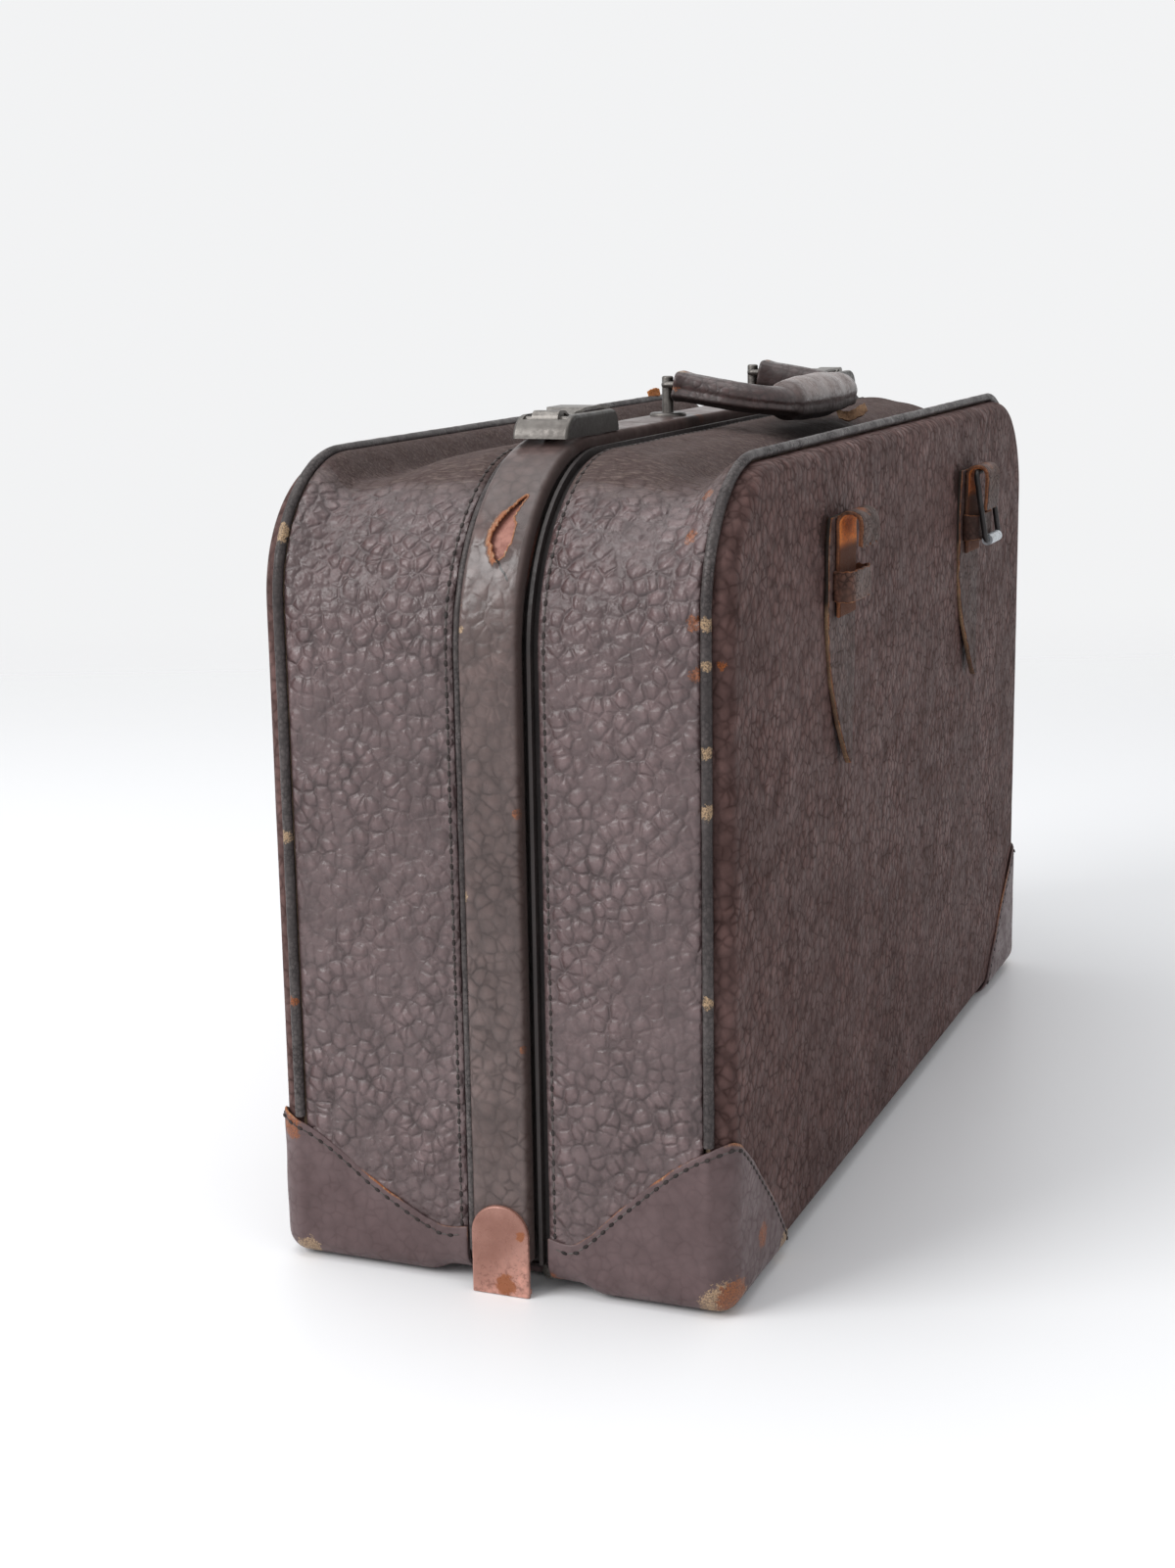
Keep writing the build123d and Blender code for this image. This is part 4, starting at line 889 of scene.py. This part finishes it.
# Sewing: thread dashes between awl holes.
sewing = {"pitch": 7.2, "stitch": 4.0, "threadWidth": 1.1, "hole": 3.3, "holeWidth": 1.9, "sink": 0.1,
          "gussetFoot": 30.0, "gussetEdge": 3.4, "patchPitch": 6.0, "patchThread": 0.8}


def bead(mesh, spot, turn, size, rings):
    matrix = Matrix.Translation(place(*spot)) @ turn @ Matrix.Diagonal((*(part / 2000 for part in size), 1.0))
    bmesh.ops.create_uvsphere(mesh, u_segments=8, v_segments=rings, radius=1.0, matrix=matrix)


def sewLine(name, places, body, slotName, pitch, width):
    # places gives points with their along and outward directions, close together
    dashes, holes = bmesh.new(), bmesh.new()
    run, due = 0.0, 0.0
    for (a, way, out), (b, _, _) in zip(places, places[1:]):
        step = (b - a).length
        while due <= run + step and step > 0:
            spot = a + (b - a) * ((due - run) / step)
            skew = Matrix.Rotation(0.12 * noise.noise(spot * 0.9), 3, out)
            turn = (skew @ Matrix((way, way.cross(out).normalized(), out)).transposed()).to_4x4()
            bead(dashes, spot + out * (width * 0.12 - sewing["sink"]), turn,
                 (sewing["stitch"] * pitch / sewing["pitch"], width, width / 1.2), 5)
            bead(holes, spot + way * pitch / 2 + out * 0.02, turn, (sewing["hole"], sewing["holeWidth"], 0.9), 4)
            due += pitch
        run += step
    finishPiece(name + "Thread", dashes, thread, body, slotName)
    finishPiece(name + "Holes", holes, awlHole, body, slotName)


def wayBetween(a, b):
    return (Vector(b) - Vector(a)).normalized()


def outwardOf(here, along, across, middle):
    out = along.cross(across).normalized()
    return -out if out.dot(here - middle) < 0 else out


def gussetSeam(half, u, v, step=0.002):
    here = Vector(gussetSpot(half, u, v))
    along = wayBetween(gussetSpot(half, u - step, v), gussetSpot(half, u + step, v))
    across = wayBetween(gussetSpot(half, u, v - step), gussetSpot(half, u, v + step))
    return here, along, outwardOf(here, along, across, Vector((0, gussets[half]["side"] * 20, 190)))


def patchSeam(half, left, s):
    height = patchTop(half, s) - patchShape["seam"]
    here = Vector(patchSpot(half, left, s, height))
    along = wayBetween(here, patchSpot(half, left, s + 1, patchTop(half, s + 1) - patchShape["seam"]))
    up = wayBetween(patchSpot(half, left, s, height - 1), patchSpot(half, left, s, height + 1))
    across = wayBetween(patchSpot(half, left, s - 0.5, height), patchSpot(half, left, s + 0.5, height))
    return here, along, outwardOf(here, across, up, patchMiddle(half, left))


for half, look in gussets.items():
    v = sewing["gussetEdge"] / (look["stations"][-1][0] - look["stations"][0][0])
    line = [gussetSeam(half, overTop(k / 900, sewing["gussetFoot"], frameOutline), v) for k in range(901)]
    sewLine(half + "Gusset", line, half + "_half", "grain_leather", sewing["pitch"], sewing["threadWidth"])
for half, left, name, node in corners:
    line = []
    for k in range(8, 236):
        s = k / 240 * sum(patchLengths(half))
        if patchTop(half, s) - patchShape["seam"] < 6:
            break
        line.append(patchSeam(half, left, s))
    sewLine(name, line, half + "_half", "patch_leather", sewing["patchPitch"], sewing["patchThread"])
print("sewing made")

# The handle: wrapped arms that run forward from the links into a padded grip.
handle = {"post": 72.0, "start": (-9.3, 406.7), "grip": (-61.0, 398.0), "corner": 25.0, "arm": 8.7,
          "swell": 12.6, "gripHalf": 51.0, "seam": 2.0, "seamAngle": -26.0, "columns": 150, "rows": 40,
          "inturn": ((0.74, -0.6), (0.62, 5.0), (0.45, 8.0))}
(startY, startZ), (gripY, gripZ) = handle["start"], handle["grip"]
handleReach = Vector((0, gripY - startY, gripZ - startZ))
forward, rightward = handleReach.normalized(), Vector((1, 0, 0))
handleUp = rightward.cross(forward)
if handleUp.z < 0:
    handleUp = -handleUp


def handlePath(q):
    # q from 0 to 1 along the handle, left to right: point, direction, how far along and the whole length
    post, corner = handle["post"], handle["corner"]
    first, bend = handleReach.length - corner, corner * math.pi / 2
    total = 2 * first + 2 * bend + 2 * (post - corner)
    along = clamp(q) * total
    mirror = along > total / 2
    at = total - along if mirror else along
    start = Vector((-post, startY, startZ))
    if at < first:
        here, way = start + forward * at, forward.copy()
    elif at < first + bend:
        turn = (at - first) / corner
        here = start + forward * (first + corner * math.sin(turn)) + rightward * (corner * (1 - math.cos(turn)))
        way = forward * math.cos(turn) + rightward * math.sin(turn)
    else:
        here, way = start + handleReach + rightward * (corner + at - first - bend), rightward.copy()
    if mirror:
        here.x, way = -here.x, Vector((way.x, -way.y, -way.z))
    return here, way, along, total


def handleSpot(u, v):
    here, way, along, total = handlePath(v)
    outer = outwardOf(here, way, handleUp, Vector((0, -30, here.z)))
    angle = 2 * math.pi * u
    c, s = math.cos(angle), math.sin(angle)
    grip = 1 - ease((abs(here.x) - handle["gripHalf"]) / 1.6) if abs(here.y - gripY) <= 8 else 0.0
    belly = handle["swell"] - 2.2 * (abs(here.x) / handle["gripHalf"]) ** 2
    fromPost = min(along, total - along)
    boxy = 2.0 + 2.4 * (1 - ease(fromPost / 34))
    radius = handle["arm"] + (belly - handle["arm"]) * grip
    radius *= (abs(c) ** boxy + abs(s) ** boxy) ** (-1 / boxy)
    radius *= 1 + 0.05 * rumple(along, 4 * c, 4 * s, 19, 2.0) + 0.012 * rumple(along, 6 * c, 6 * s, 7, 5.0)
    fromSeam = angle - math.radians(handle["seamAngle"])
    gap = math.atan2(math.sin(fromSeam), math.cos(fromSeam))
    radius += handle["seam"] * math.exp(-(gap / 0.16) ** 2) * (0.8 + 0.2 * rumple(along, 0, 0, 9, 1.0))
    radius -= 0.5 * math.exp(-((abs(gap) - 0.36) / 0.12) ** 2)
    radius *= 1 + 0.07 * (1 - ease(fromPost / 7))
    return here + outer * (radius * c * 1.02) + handleUp * (radius * s * (0.86 if grip < 0.5 else 0.95))


def markHandle(mesh):
    # torn leather at the posts, an underside painted dark as shade and a top of the grip painted pale as lit
    torn, under, pale = (mesh.verts.layers.float.new(name) for name in ("tornEdge", "underSide", "rubbedPale"))
    posts = [place(side * handle["post"], startY, startZ) for side in (-1, 1)]
    for vert in mesh.verts:
        fromEnd = min((vert.co - post).length for post in posts) * 1000
        vert[torn] = clamp((11.0 + 3.5 * noise.noise(vert.co * 260) - fromEnd) / 4) * 0.55
        y, z = caseFlat(vert.co)
        above = z - startZ - (gripZ - startZ) * clamp((startY - y) / (startY - gripY))
        vert[under] = ease((-above - 1.5) / 5)
        onGrip = ease((above + 2.5) / 7) * ease((handle["gripHalf"] + 15 - abs(vert.co.x) * 1000) / 30)
        vert[pale] = (0.75 + 0.35 * noise.noise(vert.co * 90)) * onGrip * ease((-36 - y) / 8)


mesh = shapeGrid(handle["rows"], handle["columns"], handleSpot, closed=True)
markHandle(mesh)
for side in (-1, 1):
    # turn each open end in
    rim = [edge for edge in mesh.edges if edge.is_boundary and edge.verts[0].co.x * side > 0]
    for shrink, deep in handle["inturn"]:
        made = bmesh.ops.extrude_edge_only(mesh, edges=rim)["geom"]
        fresh = [part for part in made if isinstance(part, bmesh.types.BMVert)]
        centre = sum((vert.co for vert in fresh), Vector()) / len(fresh)
        for vert in fresh:
            vert.co = centre + (vert.co - centre) * shrink + Vector((0, -deep / 1000, 0))
        rim = [part for part in made if isinstance(part, bmesh.types.BMEdge) and part.is_boundary]
    bmesh.ops.edgeloop_fill(mesh, edges=rim)
bmesh.ops.recalc_face_normals(mesh, faces=mesh.faces)
piece = finishPiece("handleLeather", mesh, handleLeather, "handle", "handle_leather", ["handle_grip"], levels=1)


def ragStrip(name, rail, across, halfWidth, finish, body, slotName, replaced, wall, columns, rows, rag, seed,
             inner=None, edge=None, wave=0.35, endRag=0.0):
    # a leather strip along a rail in millimetres, rag roughens its edges
    acrossWay = Vector(across).normalized()

    def surface(u, v):
        stretched = u + endRag * rumple(v * 30, seed, 0, 3.3, seed) * (u > 0.5) * ease(2 * u - 1)
        width = halfWidth(u) if callable(halfWidth) else halfWidth
        off = (2 * v - 1) * (width + rag * rumple(u * 100, seed, v, 6, seed))
        ahead = curveThrough(rail, min(u + 0.01, 1)) - curveThrough(rail, max(u - 0.01, 0))
        lift = ahead.normalized().cross(acrossWay) * (wave * rumple(u * 60, v * 20, seed, 8, seed))
        return curveThrough(rail, stretched) + acrossWay * off + lift

    mesh = shapeGrid(columns, rows, surface)
    layer = mesh.verts.layers.float.new("tornEdge")
    for vert in mesh.verts:
        if vert.is_boundary:
            vert[layer] = 0.6 + 0.35 * noise.noise(vert.co * 300 + Vector((seed, 0, 0)))
    extras = [extra for extra in (inner, edge) if extra]
    piece = finishPiece(name, mesh, finish, body, slotName, replaced, None, wall, 1, "ALL", offset=0.0,
                        material_offset=1 if inner else 0, material_offset_rim=len(extras) if edge else 0)
    for extra in extras:
        piece.data.materials.append(extra)


# What is left of the straps: a leaf-shaped backing, a folded chape and a keeper on each side.
straps = {"x": 137.0, "leafTop": 349.0, "leafTip": 226.0, "leafY": -115.7, "curl": 5.0, "curlFrom": 287.5,
          "chapeHalf": 15.0, "chapeFoot": 300.0, "loop": (-124.4, 345.0, 5.8), "keeperZ": 315.5, "keeperHalf": 18.0,
          "keeperWidth": 7.6, "keeperBack": -117.6, "keeperFront": -125.9, "flap": {"left": 11.0, "right": 20.0},
          "leafWidths": [(0.0, 20.5), (0.10, 23.6), (0.32, 25.0), (0.52, 23.6), (0.70, 18.2), (0.86, 10.5), (1.0, 1.2)]}


def leafRail(x):
    for k in range(9):
        z = straps["leafTop"] + (straps["leafTip"] - straps["leafTop"]) * k / 8
        sunk = clamp((straps["curlFrom"] - z) / (straps["curlFrom"] - straps["leafTip"]))
        yield x, straps["leafY"] - straps["curl"] * sunk ** 1.7, z


def chapeRail(x, flap):
    y, z, r = straps["loop"]
    turns = [k * math.pi / 6 for k in range(7)]
    return ([(x, y + r, up) for up in (straps["chapeFoot"], 312, 324, 336)]
            + [(x, y + r * math.cos(turn), z + r * math.sin(turn)) for turn in turns]
            + [(x, y - r, z - flap * 0.5), (x, y - r + 0.8, z - flap)])


def keeperRail(x):
    half, back, front, z = (straps[key] for key in ("keeperHalf", "keeperBack", "keeperFront", "keeperZ"))
    return [(x + off, y, z) for off, y in (
        (3 - half, back), (-half, back - 1.0), (-half, front + 3.2), (2.6 - half, front), (-6, front - 0.5),
        (6, front - 0.3), (half - 2.6, front), (half, front + 3.2), (half, back - 1.0), (half - 3, back))]


for word, side in sides.items():
    x, onFront = side * straps["x"], ("front_half", "strap_leather")
    ragStrip(word + "StrapLeaf", list(leafRail(x)), (1, 0, 0), lambda t: splineAt(straps["leafWidths"], t),
             strapLeather, *onFront, [word + "_strap_leaf"], 2.8, 56, 20, 0.35, 3.0 * side, edge=cutEdge, wave=0.5)
    ragStrip(word + "Chape", chapeRail(x, straps["flap"][word]), (1, 0, 0), straps["chapeHalf"], chapeLeather,
             *onFront, [word + "_chape"], 2.3, 70, 18, 0.9, 5.0 + side, fleshSide, tornRim, 0.6, 0.08)
    ragStrip(word + "Keeper", keeperRail(x), (0, 0, 1), straps["keeperWidth"], chapeLeather,
             *onFront, [word + "_keeper"], 1.9, 64, 12, 0.9, 9.0 + side, fleshSide, tornRim, 0.6)
ragStrip("gripScrap", [(47, -61, 386), (49, -66, 384), (51, -71, 385.5), (54, -76, 389)], (0.1, 0.42, 0.9), 2.9,
         scrapLeather, "handle", "handle_leather", (), 1.8, 24, 12, 0.8, 21.0, edge=tornRim, wave=0.9)
ragStrip("pipingScrap", [(190, 104.5, 387.6), (195, 103.8, 388.6), (201, 103.2, 388.9), (206, 103, 388.2)],
         (0, 0.25, 1), 2.7, frayedHide, "rear_half", "welt_leather", (), 1.2, 20, 10, 1.1, 31.0, edge=frayedHide,
         wave=0.9)
print("handle and straps made")

# Cloth linings of both halves: a wall round the sides and a back.
linings = {
    "rear": {"side": 1, "stations": [(16.4, 6.9, 11.2, 79.1, 10.0), (39.0, 9.8, 11.2, 70.0, 10.0),
                                     (84.0, 17.8, 11.2, 54.0, 10.0), (107.6, 17.8, 11.2, 54.0, 10.0)]},
    "front": {"side": -1, "stations": [(25.0, 6.9, 11.2, 79.1, 10.0), (51.1, 9.8, 11.2, 70.0, 10.0),
                                       (84.0, 17.8, 11.2, 54.0, 10.0), (107.6, 17.8, 11.2, 54.0, 10.0)]},
}
liningShape = {"half": 296.4, "back": {"half": 296.0, "base": 11.8, "top": 366.0, "upper": 53.0, "lower": 9.5},
               "wall": 0.7, "backWall": 0.6, "backY": 107.2}


def liningSpot(look, u, v):
    y, spot = stationPoint(look, liningShape["half"], u, v)
    puff = -0.5 - 0.7 * abs(rumple(spot[0], y, spot[1], 26, 4.0)) * ease((y - look["stations"][0][0]) / 8)
    return pushOut(spot, look["side"] * y, puff)


def liningBackSpot(side, u, v):
    x, z, away = roundedSpot(u, v, liningShape["back"])
    puff = 0.9 + 0.8 * rumple(x, 0, z, 60, 3.3)
    return x, side * (liningShape["backY"] - puff * ease(away / 12)), z


for half, look in linings.items():
    side = look["side"]
    mesh = shapeGrid(300, 14, lambda u, v: liningSpot(look, u, v), closed=True)
    wallPiece = finishPiece(half + "LiningWall", mesh, liningCloth, half + "_half", "lining_cloth",
                            [half + "_lining"], awayRound, liningShape["wall"])
    mesh = shapeGrid(90, 56, lambda u, v: liningBackSpot(side, u, v))
    backPiece = finishPiece(half + "LiningBack", mesh, liningCloth, half + "_half", "lining_cloth", (),
                            lambda middle: Vector((0, -side, 0)), liningShape["backWall"])
    deep = (look["stations"][-1][0] - look["stations"][0][0]) / 1000
    deep + 0.004
    half + "GussetLeather"
    half + "_board"
print("linings made")

# The parts that keep their shape get their finishes, those of the left and right alike.
nodeFinishes = {
    lockMetal: ["lock_case", "lock_lever", "latch_tongue", "lock_pin", "catch", "handle_post", "post_rosette",
                "handle_link"],
    hingeSteel: ["rear_hinge_leaf", "front_hinge_leaf", "hinge_pin", "lock_spring", "rear_hinge_rivets",
                 "front_hinge_rivets"],
    shoeLacquer: ["shoe"], steelFrame: ["front_frame"], rearSteel: ["rear_frame"], buckleWire: ["buckle_frame"],
    rollerMetal: ["buckle_roller"], pressedBoard: ["rear_board", "front_board", "rear_rim", "front_rim"],
    patchLeather: ["base_strip"],
}
for finish, names in nodeFinishes.items():
    for node in [prefix + name for name in names for prefix in ("", "left_", "right_")]:
        for slot in nodes[node].material_slots if node in nodes else ():
            slot.material = finish

# Floor, sky, lights and the camera of the photograph.
studio = {"floor": (0.93, 0.93, 0.935, 1.0), "far": 0.895, "floorRadius": 7.0, "fadeFrom": 2.3, "fadeTo": 3.4,
          "sky": 0.62, "beyond": (0.55, 2.0), "viewWay": (0.927, 0.374, 0.0), "opensBelow": -0.03}


def openFloor(floor):
    # the floor turns clear once the front half has swung down below it
    group = bpy.data.node_groups.new("openFloor", "GeometryNodeTree")
    for way in ("INPUT", "OUTPUT"):
        group.interface.new_socket("Geometry", in_out=way, socket_type="NodeSocketGeometry")
    given = NodeValue(group.nodes.new("NodeGroupInput").outputs[0])
    swung = add(group, "GeometryNodeObjectInfo", {"Object": nodes["front_frame"]}, "Geometry",
                transform_space="RELATIVE")
    low = axis(add(group, "GeometryNodeBoundBox", {0: swung}, "Min"), "Z")
    opened = maths("LESS_THAN", low, studio["opensBelow"])
    marked = add(group, "GeometryNodeStoreNamedAttribute", {"Geometry": given, "Name": "opened", "Value": opened})
    group.links.new(marked.socket, group.nodes.new("NodeGroupOutput").inputs[0])
    floor.modifiers.new("openFloor", "NODES").node_group = group


def makeFloor():
    mesh = bmesh.new()
    bmesh.ops.create_circle(mesh, cap_ends=True, segments=96, radius=studio["floorRadius"])
    material, shader, spot = newMaterial("studioFloor")
    for key, value in (("Base Color", studio["floor"]), ("Roughness", 0.42), ("Specular IOR Level", 0.25)):
        shader.inputs[key].default_value = value
    tree = spot.tree
    fade = ramp(vectors("LENGTH", spot), studio["fadeFrom"], studio["fadeTo"])
    fade = larger(fade, painted(tree, "opened"))
    fade = larger(fade, ramp(vectors("DOT_PRODUCT", spot, studio["viewWay"]), *studio["beyond"]))
    both = add(tree, "ShaderNodeMixShader",
               {0: fade, 1: NodeValue(shader.outputs[0]), 2: add(tree, "ShaderNodeBsdfTransparent")})
    tree.links.new(both.socket, tree.nodes["Material Output"].inputs["Surface"])
    floor = meshObject("studioFloor", mesh, material)
    floor.location = (0, 0, -0.0004)
    openFloor(floor)


def makeSky():
    world = bpy.data.worlds.new("studioSky")
    world.use_nodes = True
    tree = world.node_tree
    tree.nodes.clear()
    path = add(tree, "ShaderNodeLightPath", None, None)
    seen = larger(path["Is Camera Ray"], larger(path["Is Glossy Ray"], path["Is Transmission Ray"]))
    light = add(tree, "ShaderNodeBackground", {"Color": (0.95, 0.97, 1.0, 1.0), "Strength": studio["sky"]})
    shown = add(tree, "ShaderNodeBackground", {"Color": (0.995, 1.0, 1.008, 1.0), "Strength": studio["far"]})
    both = add(tree, "ShaderNodeMixShader", {0: seen, 1: light, 2: shown})
    tree.links.new(both.socket, tree.nodes.new("ShaderNodeOutputWorld").inputs["Surface"])
    bpy.context.scene.world = world


def makeLamp(name, where, target, size, energy):
    data = bpy.data.lights.new(name, "AREA")
    data.shape, data.size, data.energy = "SQUARE", size, energy
    lamp = newObject(name, data)
    lamp.location = where
    lamp.rotation_euler = (Vector(target) - Vector(where)).to_track_quat("-Z", "Y").to_euler()


camera = {"lens": 54.33, "x": -1.2482, "y": -0.4300, "z": 0.4653, "azimuth": -67.996, "elevation": 12.207,
          "roll": -0.9416}


def makeCamera():
    a, e, r = (math.radians(camera[key]) for key in ("azimuth", "elevation", "roll"))
    forward = Vector((-math.sin(a) * math.cos(e), math.cos(a) * math.cos(e), -math.sin(e)))
    right = forward.cross(Vector((0, 0, 1))).normalized()
    up = right.cross(forward)
    right, up = right * math.cos(r) + up * math.sin(r), up * math.cos(r) - right * math.sin(r)
    data = bpy.data.cameras.new("photoCamera")
    data.lens, data.sensor_width, data.sensor_fit = camera["lens"], 36.0, "AUTO"
    view = newObject("photoCamera", data)
    turn = Matrix((right, up, -forward)).transposed()
    view.matrix_world = Matrix.Translation((camera["x"], camera["y"] + middleY, camera["z"])) @ turn.to_4x4()
    bpy.context.scene.camera = view


makeFloor()
makeSky()
for name, where, target, size, energy in (("windowLamp", (-1.9, 1.5, 1.7), (-0.1, 0.0, 0.2), 1.5, 46.0),
                                          ("ceilingLamp", (-0.2, 0.3, 2.6), (0.0, 0.0, 0.2), 2.0, 24.0),
                                          ("roomLamp", (-1.4, -2.2, 1.3), (0.0, 0.0, 0.2), 1.8, 1.6)):
    makeLamp(name, where, target, size, energy)
makeCamera()
bpy.context.scene.view_settings.view_transform = "Standard"
print("studio made")
